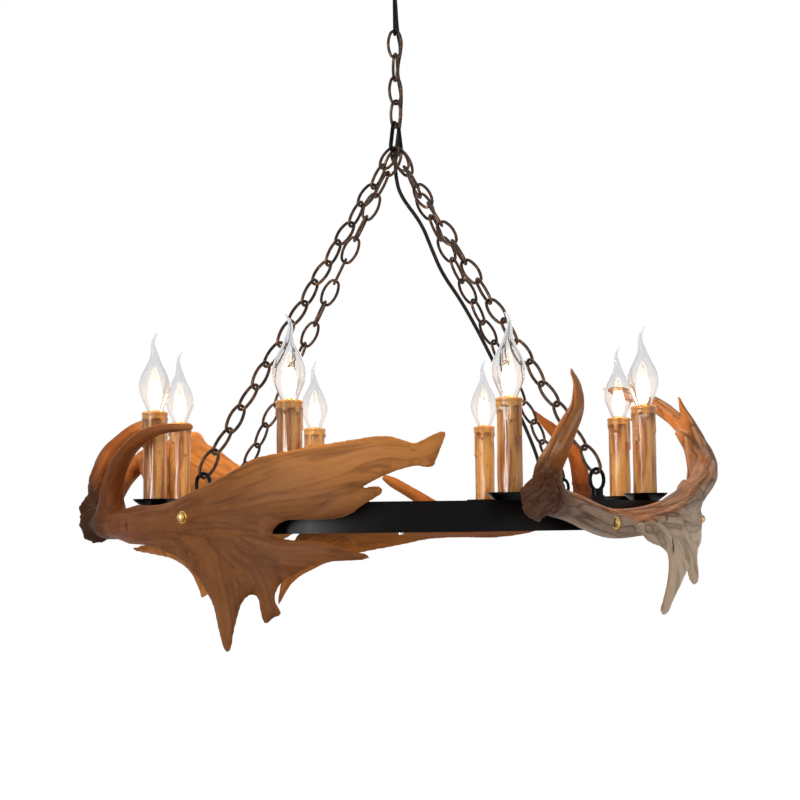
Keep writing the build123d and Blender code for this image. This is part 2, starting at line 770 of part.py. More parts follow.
def antler_right_front():
    beam = limb(
        [
            (140, -324, 22, 15, 15),
            (170, -290, 14, 15, 15),
            (208, -241, -1, 14, 15.5),
            (243, -200, -2, 14, 15.5),
            (281, -151, 7, 14, 14.5),
            (315, -95, 24, 14, 14),
            (343, -35, 42, 13.5, 13.5),
            (359, 20, 60, 12.5, 12.5),
            (361, 75, 84, 12, 12),
            (350, 122, 112, 11, 11),
            (331, 160, 137, 10, 10),
            (306, 188, 155, 9, 9),
            (280, 204, 164, 7, 7),
            (262, 210, 168, 2.5, 2.5),
        ]
    )
    brow = limb(
        [
            (143, -318, 28, 15, 15),
            (145, -318, 50, 14, 14),
            (155, -314, 70, 12, 12),
            (165, -306, 91, 10.5, 10.5),
            (176, -301, 113, 8, 8),
            (177, -298, 134, 5, 5),
            (171, -298, 151, 1.5, 1.5),
        ]
    )
    back_tine = limb(
        [
            (357, 96, 96, 7, 9),
            (353, 108, 118, 6, 7),
            (347, 116, 136, 4, 4),
            (343, 119, 150, 1.5, 1.5),
        ]
    )
    low = palm(right_low_outline, 72, stand=33.0)
    high = palm(right_high_outline, 103, stand=46.0)
    root = burr(134, -331, 23, (-0.66, -0.72, 0.2))
    bosses = [bolt_boss(*b) for b in bolts["right_front"]]
    pieces = [beam, low, high, brow, back_tine, root, *bosses]
    return finish_antler("right_front", *pieces)


right_back_outline = [
    (170, 8), (147, 12), (68, 15), (41, 34), (-18, 68), (-27, 58), (30, 22), (1, 14),
    (-53, 33), (-93, 13), (-132, -6), (-151, -46), (-164, -112), (-147, -80), (-132, -66),
    (-99, -50), (-79, -44), (-59, -38), (1, -28), (51, -16), (92, -16), (121, -19),
    (144, -16), (170, -8),
]


def antler_right_back():
    beam = limb(
        [
            (238, 224, 20, 14, 14),
            (224, 237, 14, 14, 14),
            (197, 251, 8, 13.5, 13.5),
            (150, 276, 2, 13, 13.5),
            (95, 299, -2, 13, 13),
            (40, 311, -3, 12.5, 12),
            (-15, 313, -4, 11, 9),
            (-60, 312, -8, 6, 6),
        ]
    )
    brow = limb(
        [
            (235, 226, 20, 14, 14),
            (232, 227, 54, 11.5, 11.5),
            (224, 228, 88, 10, 10),
            (200, 236, 116, 8, 8),
            (184, 241, 132, 5, 5),
            (173, 244, 144, 1.8, 1.8),
        ]
    )
    root = burr(243, 219, 21, (0.72, -0.66, 0.2), radius=19.0)
    plate = palm([(-u, z) for u, z in right_back_outline], 180)
    bosses = [bolt_boss(*b) for b in bolts["right_back"]]
    return finish_antler("right_back", beam, plate, brow, root, *bosses)


def antler_bolt(angle, height, seat):
    """A round-headed bolt with its washer outside the antler and its nut inside the channel."""
    z = datum + height
    inner = ring_r - ring_wall - nut_thick - 1.5
    shank_out = seat + washer_thick
    shank_plane = radial_plane((inner + shank_out) / 2, angle, z)
    shank = shank_plane.location * Cylinder(bolt_r, shank_out - inner)
    head_plane = radial_plane(shank_out, angle, z)
    ball = head_plane.location * (Sphere(bolt_head_r) & (Pos(0, 0, 10) * Box(30, 30, 20)))
    washer_plane = radial_plane(seat, angle, z)
    washer = washer_plane.location * (
        extrude(Circle(washer_r), washer_thick) - Cylinder(bolt_r + 0.2, 10)
    )
    nut_plane = radial_plane(ring_r - ring_wall - nut_thick - 0.1, angle, z)
    nut = nut_plane.location * hex_nut(nut_r, bolt_r + 0.1, nut_thick)
    return [shank + ball, washer, nut]


# ---- write every sub-part ----
put("canopy", canopy())
put("mounting_strap", strap())
put("ceiling_loop", ceiling_loop())
put("loop_nuts", *loop_nuts())
put("terminal_block", terminal_block())
put("cable_bushing", bushing())

connector = oval_link(connector_length, connector_width, connector_wire)
connector_z = (connector_top_z + connector_bottom_z) / 2
put("drop_connector", Pos(0, 0, connector_z) * Rot(0, 0, 90) * connector)
for k in range(drop_link_count):
    middle = first_drop_top_z - drop_line / 2 - k * drop_pitch
    put(f"drop_link_{k + 1}", Pos(0, 0, middle) * Rot(0, 0, drop_turns[k]) * drop_link)
put("hub_link", hub())
leg_names = {45: "front_right", 135: "back_right", 225: "back_left", 315: "front_left"}
for angle, name in leg_names.items():
    put(f"leg_chain_{name}", *leg_chain(angle))
put("eye_bolts", *[s for k in range(leg_count) for s in eye_bolt(leg_angle(k))])

put("ring_channel", ring_channel())
put("ring_cover", ring_cover())
put("cover_screws", *cover_screws())
put("lamp_wiring", wiring())
put("supply_cable", cable())

nuts = []
for k in range(lamp_count):
    p = polar(lamp_circle_r, lamp_angle(k))
    put(f"drip_dish_{k + 1}", dish(p.X, p.Y))
    put(f"lamp_holder_{k + 1}", holder(p.X, p.Y))
    put(f"candle_sleeve_{k + 1}", sleeve(p.X, p.Y))
    put(f"bulb_{k + 1}", *bulb(p.X, p.Y, tail_turns[k]))
    nuts.append(lamp_nut(p.X, p.Y))
put("lamp_nuts", *nuts)

put("antler_left_front", antler_left_front())
put("antler_left_back", antler_left_back())
put("antler_right_front", antler_right_front())
put("antler_right_back", antler_right_back())
put("antler_bolts", *[s for b in all_bolts for s in antler_bolt(*b)])
print("ring top", round(ring_top, 2), "datum", round(datum, 2), "hub bar", round(hub_bar_z, 2))
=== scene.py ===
# %% [markdown]
# # An antler chandelier
# A black iron ring carries eight candle lamps and hangs from the ceiling by chains. Four shed
# antlers wrap round it. The construction is already made in CAD, so this script adds the looks
# round that fixed frame: carved antlers, waxed candle sleeves, blown glass bulbs and the finish
# of the iron, brass and bronze. Lengths are in metres, and `mm` turns millimetres into them.

# %% Load the frame
import math

import bmesh
import bpy
import numpy as np
import openvdb
from mathutils import Matrix, Vector
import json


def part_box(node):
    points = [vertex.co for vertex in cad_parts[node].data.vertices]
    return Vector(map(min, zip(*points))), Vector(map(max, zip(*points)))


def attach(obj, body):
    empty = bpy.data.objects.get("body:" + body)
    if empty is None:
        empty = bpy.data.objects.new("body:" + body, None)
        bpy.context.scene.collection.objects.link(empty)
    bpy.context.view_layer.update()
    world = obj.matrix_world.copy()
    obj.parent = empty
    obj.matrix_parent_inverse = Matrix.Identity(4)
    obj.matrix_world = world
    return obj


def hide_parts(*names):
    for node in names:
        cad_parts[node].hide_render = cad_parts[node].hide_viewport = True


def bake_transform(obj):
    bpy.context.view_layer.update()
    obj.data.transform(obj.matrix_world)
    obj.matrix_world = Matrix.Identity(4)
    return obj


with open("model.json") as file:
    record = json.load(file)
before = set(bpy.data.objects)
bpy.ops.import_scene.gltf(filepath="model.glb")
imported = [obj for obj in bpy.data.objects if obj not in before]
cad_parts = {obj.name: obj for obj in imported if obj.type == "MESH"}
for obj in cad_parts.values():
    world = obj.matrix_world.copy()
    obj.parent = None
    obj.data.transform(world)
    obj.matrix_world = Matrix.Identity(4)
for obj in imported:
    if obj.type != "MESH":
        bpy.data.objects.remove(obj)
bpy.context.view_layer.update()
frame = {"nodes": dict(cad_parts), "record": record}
mm = 0.001

# %% [markdown]
# The ring's top and bottom come from the frame. Antler heights are counted from a level 22 mm
# below the ring's top, which is also the height of the eye that looks at it. The eight lamps
# stand on a circle, starting 22.5 degrees to the right of the front.

# %% Places that the pieces share
ring_low, ring_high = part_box("ring_channel")
ring_top = ring_high.z
ring_radius = ring_high.x
eye_level = ring_top - 22 * mm
lamp_circle = 290 * mm
lamp_numbers = range(1, 9)


def on_lamp_circle(degrees, height):
    """A point over the circle, counted in degrees from the front towards the right."""
    angle = math.radians(degrees)
    return Vector((lamp_circle * math.sin(angle), -lamp_circle * math.cos(angle), height))


def lamp_place(number):
    return on_lamp_circle(22.5 + 45 * (number - 1), ring_top)


print("ring radius", round(ring_radius, 4), "eye level", round(eye_level, 4))

# %% [markdown]
# ## Camera
# The picture was taken from about two metres away, at the height of the ring, with the lens
# tipped up 4 degrees to take in the chain, and leaning a little.

# %% Camera
camera_data = bpy.data.cameras.new("camera")
camera_data.sensor_width = 36
camera_data.lens = 80.5
camera = bpy.data.objects.new("camera", camera_data)
camera.location = (0, -2.07, eye_level)
tilt = Matrix.Rotation(math.radians(93.95), 3, "X")
lean = Matrix.Rotation(-0.012, 3, "Z")
turn = Matrix.Rotation(-0.0005, 3, "Z")
camera.rotation_euler = (turn @ tilt @ lean).to_euler()
bpy.context.scene.collection.objects.link(camera)
bpy.context.scene.camera = camera
print("lens", camera_data.lens)

# %% [markdown]
# ## Shader nodes
# Every look is a tree of shader nodes. These helpers add a node to a tree and give back its
# output. What they are given may be a number, a colour or another node's output.


# %% Node helpers
def new_tree(name):
    material = bpy.data.materials.new(name)
    material.use_nodes = True
    tree = material.node_tree
    tree.nodes.clear()
    return material, tree


def feed(tree, socket, value):
    """Links another node's output to a socket, or sets the socket to a colour or a number."""
    if isinstance(value, bpy.types.NodeSocket):
        tree.links.new(value, socket)
    elif isinstance(value, tuple):
        socket.default_value = (*value, 1)
    else:
        socket.default_value = value


def fill(tree, node, **values):
    """Feeds a node's sockets by their names, with _ for a space."""
    for name, value in values.items():
        feed(tree, node.inputs[name.replace("_", " ")], value)


def add_node(tree, kind, **values):
    node = tree.nodes.new(kind)
    fill(tree, node, **values)
    return node


def math_node(tree, operation, a, b=None):
    node = tree.nodes.new("ShaderNodeMath")
    node.operation = operation
    feed(tree, node.inputs[0], a)
    if b is not None:
        feed(tree, node.inputs[1], b)
    return node.outputs[0]


def scaled(tree, value, factor, plus=0.0):
    """value * factor + plus."""
    product = math_node(tree, "MULTIPLY", value, factor)
    return math_node(tree, "ADD", product, plus) if plus else product


# %% Ramps, noise and colours
def ramp(tree, factor, low, high):
    """Goes smoothly from 0 at low to 1 at high."""
    node = add_node(tree, "ShaderNodeMapRange", Value=factor, From_Min=low, From_Max=high)
    node.interpolation_type = "SMOOTHSTEP"
    return node.outputs["Result"]


def noise(tree, vector, scale, detail=3.0, roughness=0.55):
    node = add_node(tree, "ShaderNodeTexNoise", Vector=vector, Scale=scale, Detail=detail,
                    Roughness=roughness)
    return node.outputs["Fac"]


def mix_colour(tree, factor, a, b):
    """Colour a where the factor is 0, and b where it is 1."""
    node = tree.nodes.new("ShaderNodeMix")
    node.data_type = "RGBA"
    first, second = [socket for socket in node.inputs if socket.type == "RGBA"]
    feed(tree, first, a)
    feed(tree, second, b)
    feed(tree, node.inputs[0], factor)
    return next(socket for socket in node.outputs if socket.type == "RGBA")


def seen_white(tree):
    """1 for a ray from the camera, a reflection or a view through glass, else 0."""
    ray = tree.nodes.new("ShaderNodeLightPath").outputs
    either = math_node(tree, "MAXIMUM", ray["Is Camera Ray"], ray["Is Glossy Ray"])
    return math_node(tree, "MAXIMUM", either, ray["Is Transmission Ray"])


print("node helpers ready")

# %% [markdown]
# ## Light and floor
# A hanging lamp is shown against plain white. The world is white where the camera, a reflection
# or a view through glass meets it, and a calmer grey where it lights the object. The floor lies a
# room's height below the ceiling, and it is pale, so that it still takes the lamp's shadow.

# %% World
world = bpy.data.worlds.new("studio")
bpy.context.scene.world = world
world.use_nodes = True
sky = world.node_tree
sky.nodes.clear()
soft_light = add_node(sky, "ShaderNodeBackground", Color=(1, 1, 1), Strength=0.5)
white = add_node(sky, "ShaderNodeBackground", Color=(1, 1, 1), Strength=1.0)
sky_mix = sky.nodes.new("ShaderNodeMixShader")
feed(sky, sky_mix.inputs[0], seen_white(sky))
feed(sky, sky_mix.inputs[1], soft_light.outputs[0])
feed(sky, sky_mix.inputs[2], white.outputs[0])
add_node(sky, "ShaderNodeOutputWorld", Surface=sky_mix.outputs[0])
print("world", world.name)

# %% Floor
floor_material, tree = new_tree("pale_floor")
matt = add_node(tree, "ShaderNodeBsdfDiffuse", Color=(0.8, 0.8, 0.8))
glow = add_node(tree, "ShaderNodeEmission", Strength=scaled(tree, seen_white(tree), 0.62))
floor_sum = tree.nodes.new("ShaderNodeAddShader")
feed(tree, floor_sum.inputs[0], matt.outputs[0])
feed(tree, floor_sum.inputs[1], glow.outputs[0])
add_node(tree, "ShaderNodeOutputMaterial", Surface=floor_sum.outputs[0])

floor_height = -2.4
floor_mesh = bpy.data.meshes.new("floor")
half = 30
corners = [(-half, -half, floor_height), (half, -half, floor_height)]
corners += [(half, half, floor_height), (-half, half, floor_height)]
floor_mesh.from_pydata(corners, [], [(0, 1, 2, 3)])
floor_mesh.materials.append(floor_material)
floor = bpy.data.objects.new("floor", floor_mesh)
bpy.context.scene.collection.objects.link(floor)
print("floor at", floor_height)

# %% [markdown]
# Three soft boxes light the object from the left, the right and behind. A fourth lamp is a tall,
# narrow strip that only reflections see. It draws the bright line down each candle and the soft
# one on the ring.


# %% Lamps
def soft_box(name, place, aim, size, watts, colour):
    data = bpy.data.lights.new(name, "AREA")
    data.size = size
    data.energy = watts
    data.color = colour
    lamp = bpy.data.objects.new(name, data)
    lamp.location = place
    lamp.rotation_euler = (Vector(aim) - Vector(place)).to_track_quat("-Z", "Y").to_euler()
    lamp.visible_transmission = False
    bpy.context.scene.collection.objects.link(lamp)
    return lamp


centre = (0, 0, eye_level)
soft_box("key", (-1.6, -2.2, 0.6), centre, 1.6, 27, (1.0, 0.97, 0.93))
soft_box("fill", (2.2, -1.8, -0.6), centre, 1.6, 10, (1.0, 0.98, 0.96))
soft_box("back", (0.3, 2.4, 0.4), centre, 1.6, 15, (1.0, 1.0, 1.0))
strip = soft_box("strip", (-1.53, -2.1, eye_level + 0.15), centre, 0.4, 66, (1.0, 0.98, 0.96))
strip.data.shape = "RECTANGLE"
strip.data.size_y = 1.3
strip.visible_diffuse = False
bpy.context.scene.view_settings.view_transform = "Standard"
print("lamps", [thing.name for thing in bpy.data.lights])

# %% [markdown]
# ## Finishes
# Several finishes share an effect, so each effect is a node group: cloudy patches, and rubbed
# edges. A group gives back a mask, and every material mixes its own colours with it.


# %% A node group that gives a mask
def mask_group(name, **settings):
    """The group, its inputs (a place and its settings) and its output."""
    group = bpy.data.node_groups.new(name, "ShaderNodeTree")
    sockets = group.interface
    sockets.new_socket("Vector", in_out="INPUT", socket_type="NodeSocketVector")
    for setting, value in settings.items():
        made = sockets.new_socket(setting, in_out="INPUT", socket_type="NodeSocketFloat")
        made.default_value = value
    sockets.new_socket("Mask", in_out="OUTPUT", socket_type="NodeSocketFloat")
    given = group.nodes.new("NodeGroupInput")
    return group, given.outputs, group.nodes.new("NodeGroupOutput").inputs["Mask"]


# %% Patches: cloudy areas, larger or smaller
patches, given, mask = mask_group("patches", Scale=30.0, Cover=0.5)
clouds = noise(patches, given["Vector"], given["Scale"], 4.0)
patch_end = math_node(patches, "ADD", given["Cover"], 0.16)
feed(patches, mask, ramp(patches, clouds, given["Cover"], patch_end))

# %% Rubbed edges: bright where the surface stands proud, broken up by fine noise
rubbed, given, mask = mask_group("rubbed_edges", Amount=0.5)
shape = rubbed.nodes.new("ShaderNodeNewGeometry")
proud = ramp(rubbed, shape.outputs["Pointiness"], 0.505, 0.56)
specks = ramp(rubbed, noise(rubbed, given["Vector"], 900.0), 0.35, 0.65)
both = math_node(rubbed, "MULTIPLY", proud, specks)
feed(rubbed, mask, math_node(rubbed, "MULTIPLY", both, given["Amount"]))
print("groups", [g.name for g in bpy.data.node_groups])


# %% A material's common frame
def place_group(tree, group, vector, **values):
    node = tree.nodes.new("ShaderNodeGroup")
    node.node_tree = group
    fill(tree, node, Vector=vector, **values)
    return node.outputs[0]


def surface(name, **plain):
    """A Principled surface, its tree and the object's own coordinates."""
    material, tree = new_tree(name)
    shader = add_node(tree, "ShaderNodeBsdfPrincipled", **plain)
    add_node(tree, "ShaderNodeOutputMaterial", Surface=shader.outputs[0])
    where = tree.nodes.new("ShaderNodeTexCoord").outputs["Object"]
    return material, tree, shader, where


def coat(tree, colour, *coats):
    """Lays coats over a colour. Each is a mask, how strongly it covers, and its colour."""
    for mask, strength, paint in coats:
        colour = mix_colour(tree, scaled(tree, mask, strength), colour, paint)
    return colour


def bump(tree, shader, height, strength, distance):
    node = add_node(tree, "ShaderNodeBump", Height=height, Strength=strength, Distance=distance)
    feed(tree, shader.inputs["Normal"], node.outputs[0])


def dress(obj, material):
    obj.data.materials.clear()
    obj.data.materials.append(material)


print("common frame ready")

# %% [markdown]
# The iron is sprayed satin black, with a faint orange peel and a little wear on its corners. The
# chains are an antique dark bronze: almost black in the hollows, and reddish brown where the
# links have been rubbed.


# %% Paint, metal and plastic
def painted_iron():
    material, tree, shader, where = surface("satin_black", Specular_IOR_Level=0.07)
    patch = place_group(tree, patches, where, Scale=24.0, Cover=0.42)
    edge = place_group(tree, rubbed, where, Amount=0.12)
    colour = mix_colour(tree, patch, (0.0006, 0.0005, 0.0004), (0.0014, 0.0011, 0.0009))
    colour = mix_colour(tree, edge, colour, (0.040, 0.032, 0.027))
    rough = ramp(tree, noise(tree, where, 60.0), 0.1, 0.9)
    fill(tree, shader, Base_Color=colour, Roughness=scaled(tree, rough, 0.12, 0.30))
    bump(tree, shader, noise(tree, where, 120.0, 2.0), 0.03, 0.0003)
    return material


def metal(name, metallic, patch, colours, rough, pits, worn=None):
    """Metal in two tones, and perhaps with worn edges.

    patch is (scale, cover), rough is (change over a patch, base), pits are a bump's
    (scale, strength, depth), and worn is (amount, colour).
    """
    material, tree, shader, where = surface(name, Metallic=metallic)
    mask = place_group(tree, patches, where, Scale=patch[0], Cover=patch[1])
    colour = mix_colour(tree, mask, *colours)
    if worn:
        edge = place_group(tree, rubbed, where, Amount=worn[0])
        colour = mix_colour(tree, edge, colour, worn[1])
    fill(tree, shader, Base_Color=colour, Roughness=scaled(tree, mask, *rough))
    bump(tree, shader, noise(tree, where, pits[0]), *pits[1:])
    return material


def plastic(name, colour, shade, roughness, shine=0.5):
    material, tree, shader, where = surface(name, Roughness=roughness, Specular_IOR_Level=shine)
    patch = place_group(tree, patches, where, Scale=50.0, Cover=0.45)
    fill(tree, shader, Base_Color=mix_colour(tree, patch, colour, shade))
    bump(tree, shader, noise(tree, where, 2200.0, 2.0), 0.2, 0.0001)
    return material


iron = painted_iron()
bronze = metal("antique_bronze", 0.75, (140.0, 0.47),
               ((0.024, 0.014, 0.009), (0.090, 0.040, 0.018)),
               (-0.12, 0.44), (700.0, 0.3, 0.0003), worn=(0.9, (0.26, 0.12, 0.055)))
brass = metal("aged_brass", 1.0, (260.0, 0.5), ((0.56, 0.37, 0.13), (0.20, 0.12, 0.045)),
              (0.25, 0.24), (900.0, 0.15, 0.0002))
zinc = metal("zinc_plate", 1.0, (90.0, 0.48), ((0.55, 0.56, 0.57), (0.68, 0.67, 0.62)),
             (0.15, 0.3), (1500.0, 0.2, 0.0001))
cable_black = plastic("black_cable", (0.007, 0.0065, 0.006), (0.013, 0.012, 0.011), 0.5, 0.15)
terminal_white = plastic("terminal_white", (0.75, 0.74, 0.68), (0.66, 0.64, 0.57), 0.42)
print("materials", [m.name for m in bpy.data.materials])

# %% Dress the CAD pieces that keep their shape
slot_finish = {
    "ring_black": iron,
    "chain_bronze": bronze,
    "bolt_brass": brass,
    "holder_brass": brass,
    "zinc_steel": zinc,
    "cable_black": cable_black,
    "terminal_plastic": terminal_white,
}
dressed = [part for part in frame["record"]["subparts"] if part["material_slot"] in slot_finish]
for part in dressed:
    dress(frame["nodes"][part["node"]], slot_finish[part["material_slot"]])
print("dressed CAD nodes", len(dressed))

# %% [markdown]
# ## Making a mesh
# Every carved or turned piece ends as one mesh. These helpers turn points and faces into an
# object, and turn a profile round an axis with a radius that may change with the angle.


# %% Mesh helpers
def link(name, mesh):
    """A smooth-shaded object that shows a mesh."""
    mesh.polygons.foreach_set("use_smooth", [True] * len(mesh.polygons))
    piece = bpy.data.objects.new(name, mesh)
    bpy.context.scene.collection.objects.link(piece)
    return piece


def make_piece(name, points, faces, place=None):
    """An object from points, which are counted from a place where one is given."""
    if place is not None:
        points = [place @ Vector(p) for p in points]
    mesh = bpy.data.meshes.new(name)
    mesh.from_pydata([tuple(p) for p in points], [], [tuple(f) for f in faces])
    mesh.validate()
    return link(name, mesh)


def face_outwards(piece, merge=False):
    """Turns every face outwards, after merging points that lie on each other if asked to."""
    shape = bmesh.new()
    shape.from_mesh(piece.data)
    if merge:
        bmesh.ops.remove_doubles(shape, verts=shape.verts, dist=0.01 * mm)
    bmesh.ops.recalc_face_normals(shape, faces=shape.faces)
    shape.to_mesh(piece.data)
    shape.free()


# %% Turning a profile
def join_rings(rings, segments):
    """Four-sided faces between rings of points that follow each other."""
    faces = []
    for start in range(0, (rings - 1) * segments, segments):
        for k in range(segments):
            n = (k + 1) % segments
            faces.append((start + k, start + n, start + segments + n, start + segments + k))
    return faces


def lathe(rings, segments):
    """Each ring is a (radius, height), or a function of the angle that gives one."""
    points = []
    for ring in rings:
        for k in range(segments):
            angle = 2 * math.pi * k / segments
            radius, height = ring(angle) if callable(ring) else ring
            points.append((radius * math.cos(angle), radius * math.sin(angle), height))
    return points, join_rings(len(rings), segments)


def close_ends(points, faces, segments):
    """Lays a face over the first ring and over the last."""
    faces.append(tuple(reversed(range(segments))))
    faces.append(tuple(range(len(points) - segments, len(points))))


# %% [markdown]
# Shapes need noise too. This one is worked out from whole numbers alone, so that every run gives
# the same grain and the same wax.


# %% Noise in space
def lattice_noise(points, seed=0):
    """Smooth noise from -1 to 1 at each row of an n by 3 array, alike on every run."""
    whole = np.floor(points).astype(np.int64)
    part = points - whole
    soft = part * part * (3 - 2 * part)
    total = np.zeros(len(points))
    for corner in np.ndindex(2, 2, 2):
        key = (whole + corner) * (73856093, 19349663, 83492791)
        key = key[:, 0] ^ key[:, 1] ^ key[:, 2] ^ (seed * 2654435761)
        key = (key ^ (key >> 13)) * 1274126177
        value = ((key ^ (key >> 16)) & 0xFFFF) / 32767.5 - 1
        weight = np.where(corner, soft, 1 - soft).prod(axis=1)
        total += value * weight
    return total


print("noise", lattice_noise(np.array([[0.5, 0.5, 0.5], [3.2, 1.1, 0.4]])).round(3))

# %% [markdown]
# ## Antlers
# A shed antler has a burr at its root, a beam, tines, and flat palms that end in points. It is
# modelled as clay would be: limbs and plates are laid down in a block of small cells, each cell
# holding its distance from the surface, and joined with a soft fillet. The surface is then taken
# out of the block as one mesh. Boolean joins of tubes would leave hard creases, and a sculpted
# mesh could not be written as a short script.


# %% Clay block, in millimetres
cell = 2.1
far_off = 15.0
block_margin = 32
palm_fillet, boss_fillet = 8.0, 5.0


def clay_block(low, high):
    axes = [np.arange(a, b, cell, dtype=np.float32) for a, b in zip(low, high)]
    field = np.full([len(axis) for axis in axes], far_off, np.float32)
    return axes, field


def press_on(field, piece, fillet):
    """Joins a piece to the clay with a fillet about as wide as the number given."""
    share = np.clip(0.5 + 0.5 * (field - piece) / fillet, 0, 1)
    field[:] = field * (1 - share) + piece * share - fillet * share * (1 - share)


# %% [markdown]
# A limb is a row of stations with a width at each, joined by a curve.


# %% Limbs
def smooth_path(stations, steps=6):
    """Points on a curve through the stations, their other columns eased alike."""
    rows = np.array(stations, float)
    padded = np.vstack([2 * rows[0] - rows[1], rows, 2 * rows[-1] - rows[-2]])
    out = []
    for a, b, c, d in zip(padded, padded[1:], padded[2:], padded[3:]):
        for t in np.arange(steps) / steps:
            square, cube = t * t, t * t * t
            out.append(0.5 * (2 * b + (c - a) * t + (2 * a - 5 * b + 4 * c - d) * square
                              + (3 * b - a - 3 * c + d) * cube))
    out.append(rows[-1])
    return np.array(out)


def outward_of(point):
    """The level direction away from the ring's axis."""
    return np.array([point[0], point[1], 0]) / max(math.hypot(point[0], point[1]), 1e-6)


def limb_field(axes, shape, path):
    """Distance from a tapering limb: x, y, z and its half widths outwards and upwards."""
    own = np.full(shape, far_off, np.float32)
    for a, b in zip(path, path[1:]):
        along = b[:3] - a[:3]
        length2 = float(along @ along) + 1e-9
        reach = max(a[3:].max(), b[3:].max()) + far_off
        part = []
        for axis, p, q in zip(axes, a, b):
            start = np.searchsorted(axis, min(p, q) - reach)
            part.append(slice(start, np.searchsorted(axis, max(p, q) + reach)))
        part = tuple(part)
        x = (axes[0][part[0]] - a[0])[:, None, None]
        y = (axes[1][part[1]] - a[1])[None, :, None]
        z = (axes[2][part[2]] - a[2])[None, None, :]
        t = np.clip((x * along[0] + y * along[1] + z * along[2]) / length2, 0, 1)
        dx, dy, dz = x - t * along[0], y - t * along[1], z - t * along[2]
        out = outward_of(a)
        out = out - along * (out @ along) / length2
        out = out / np.linalg.norm(out)
        away = dx * out[0] + dy * out[1] + dz * out[2]
        distance2 = dx * dx + dy * dy + dz * dz + 1e-4
        side2 = np.maximum(distance2 - away * away, 0)
        wide = a[3] + t * (b[3] - a[3])
        tall = a[4] + t * (b[4] - a[4])
        scale = np.sqrt((away / wide) ** 2 + side2 / tall**2) + 1e-4
        distance = np.sqrt(distance2)
        np.minimum(own[part], distance - distance / scale, out=own[part])
    return own


# %% [markdown]
# A palm is drawn flat, as its outline seen from one side, and bent round a drum a little wider
# than the ring. It is thick along the veins that lead to its points and thins to a rounded edge.


# %% Outlines and lines
def polyline_distance(points, line):
    """Distance from each 2D or 3D point to a line of points, how far along it, and the offset."""
    best = np.full(len(points), 1e9)
    along = np.zeros(len(points))
    offset = np.zeros_like(points)
    done = 0.0
    for a, b in zip(line, line[1:]):
        step = b - a
        length = float(np.linalg.norm(step)) + 1e-9
        t = np.clip((points - a) @ step / length**2, 0, 1)
        away = points - a - t[:, None] * step
        distance = np.sqrt((away**2).sum(1))
        nearer = distance < best
        best = np.where(nearer, distance, best)
        along = np.where(nearer, done + t * length, along)
        offset[nearer] = away[nearer]
        done += length
    return best, along, offset


def inside_outline(points, outline):
    inside = np.zeros(len(points), bool)
    x, y = points[:, 0], points[:, 1]
    for (ax, ay), (bx, by) in zip(outline, np.roll(outline, -1, axis=0)):
        crosses = (ay > y) != (by > y)
        at = (bx - ax) * (y - ay) / (by - ay if by != ay else 1e-9) + ax
        inside ^= crosses & (x < at)
    return inside


def soften(outline):
    """Cuts each corner of a closed outline once."""
    rows = np.array(outline, float)
    following = np.roll(rows, -1, axis=0)
    cuts = [0.78 * rows + 0.22 * following, 0.22 * rows + 0.78 * following]
    return np.stack(cuts, 1).reshape(-1, 2)


# %% Palms
def bend_round(plate, rows):
    """Where (sideways, height) points of a palm come to lie on its drum."""
    facing = math.radians(plate["facing"])
    u, z = np.array(rows, float).T
    depth = -np.sqrt(np.maximum(plate["radius"] ** 2 - u**2, 100))
    return np.column_stack([u * math.cos(facing) - depth * math.sin(facing),
                            u * math.sin(facing) + depth * math.cos(facing), z])


def plate_field(axes, plate):
    """Distance from a palm: its outline and veins are (sideways, height) on a drum."""
    facing = math.radians(plate["facing"])
    outline = soften(plate["outline"])
    x, y = np.meshgrid(axes[0], axes[1], indexing="ij")
    across = x * math.cos(facing) + y * math.sin(facing)
    behind = -x * math.sin(facing) + y * math.cos(facing)
    radius = np.hypot(x, y)
    u = np.arange(across.min() - cell, across.max() + 2 * cell, cell)
    grid = np.stack(np.meshgrid(u, axes[2], indexing="ij"), -1).reshape(-1, 2).astype(float)
    closed = np.vstack([outline, outline[:1]])
    edge = polyline_distance(grid, closed)[0] * np.where(inside_outline(grid, outline), -1, 1)
    thick = np.full(len(grid), plate["thick"], float)
    for vein in plate["veins"]:
        near = polyline_distance(grid, np.array(vein, float))[0]
        thick += plate["vein_height"] * np.exp(-((near / plate["vein_width"]) ** 2))
    sway = lattice_noise(np.column_stack([grid / 55.0, np.full(len(grid), 0.3)]), plate["seed"])
    middle = plate["radius"] + 3.0 * sway
    shape = (len(u), len(axes[2]))
    place = (across - u[0]) / cell
    low = np.clip(place.astype(int), 0, len(u) - 2)
    part = np.clip(place - low, 0, 1)[..., None]

    def spread(values):
        table = values.reshape(shape)
        return table[low] * (1 - part) + table[low + 1] * part

    thickness = spread(thick)
    rim = plate["rim"]
    inwards = np.clip(spread(edge) + rim, 0, None) / rim
    thin = np.sqrt(np.maximum(thickness**2 - plate["edge"] ** 2, 0.1))
    field = np.hypot(thin * inwards, radius[..., None] - spread(middle)) - thickness
    field[behind > 0] = far_off
    return np.clip(field, -far_off, far_off).astype(np.float32)


# %% [markdown]
# Shapes that are cut away are pressed in the other way. Each antler is kept off the ring, gets a
# flat seat under each bolt's washer, and may have a few healed slits in it.


# %% Round bars and flattened balls
def along_and_off(axes, centre, direction):
    """Every cell's way along a direction from a centre, and its squared distance from there."""
    d = np.array(direction, float)
    d = d / np.linalg.norm(d)
    x = (axes[0] - centre[0])[:, None, None]
    y = (axes[1] - centre[1])[None, :, None]
    z = (axes[2] - centre[2])[None, None, :]
    return x * d[0] + y * d[1] + z * d[2], x * x + y * y + z * z


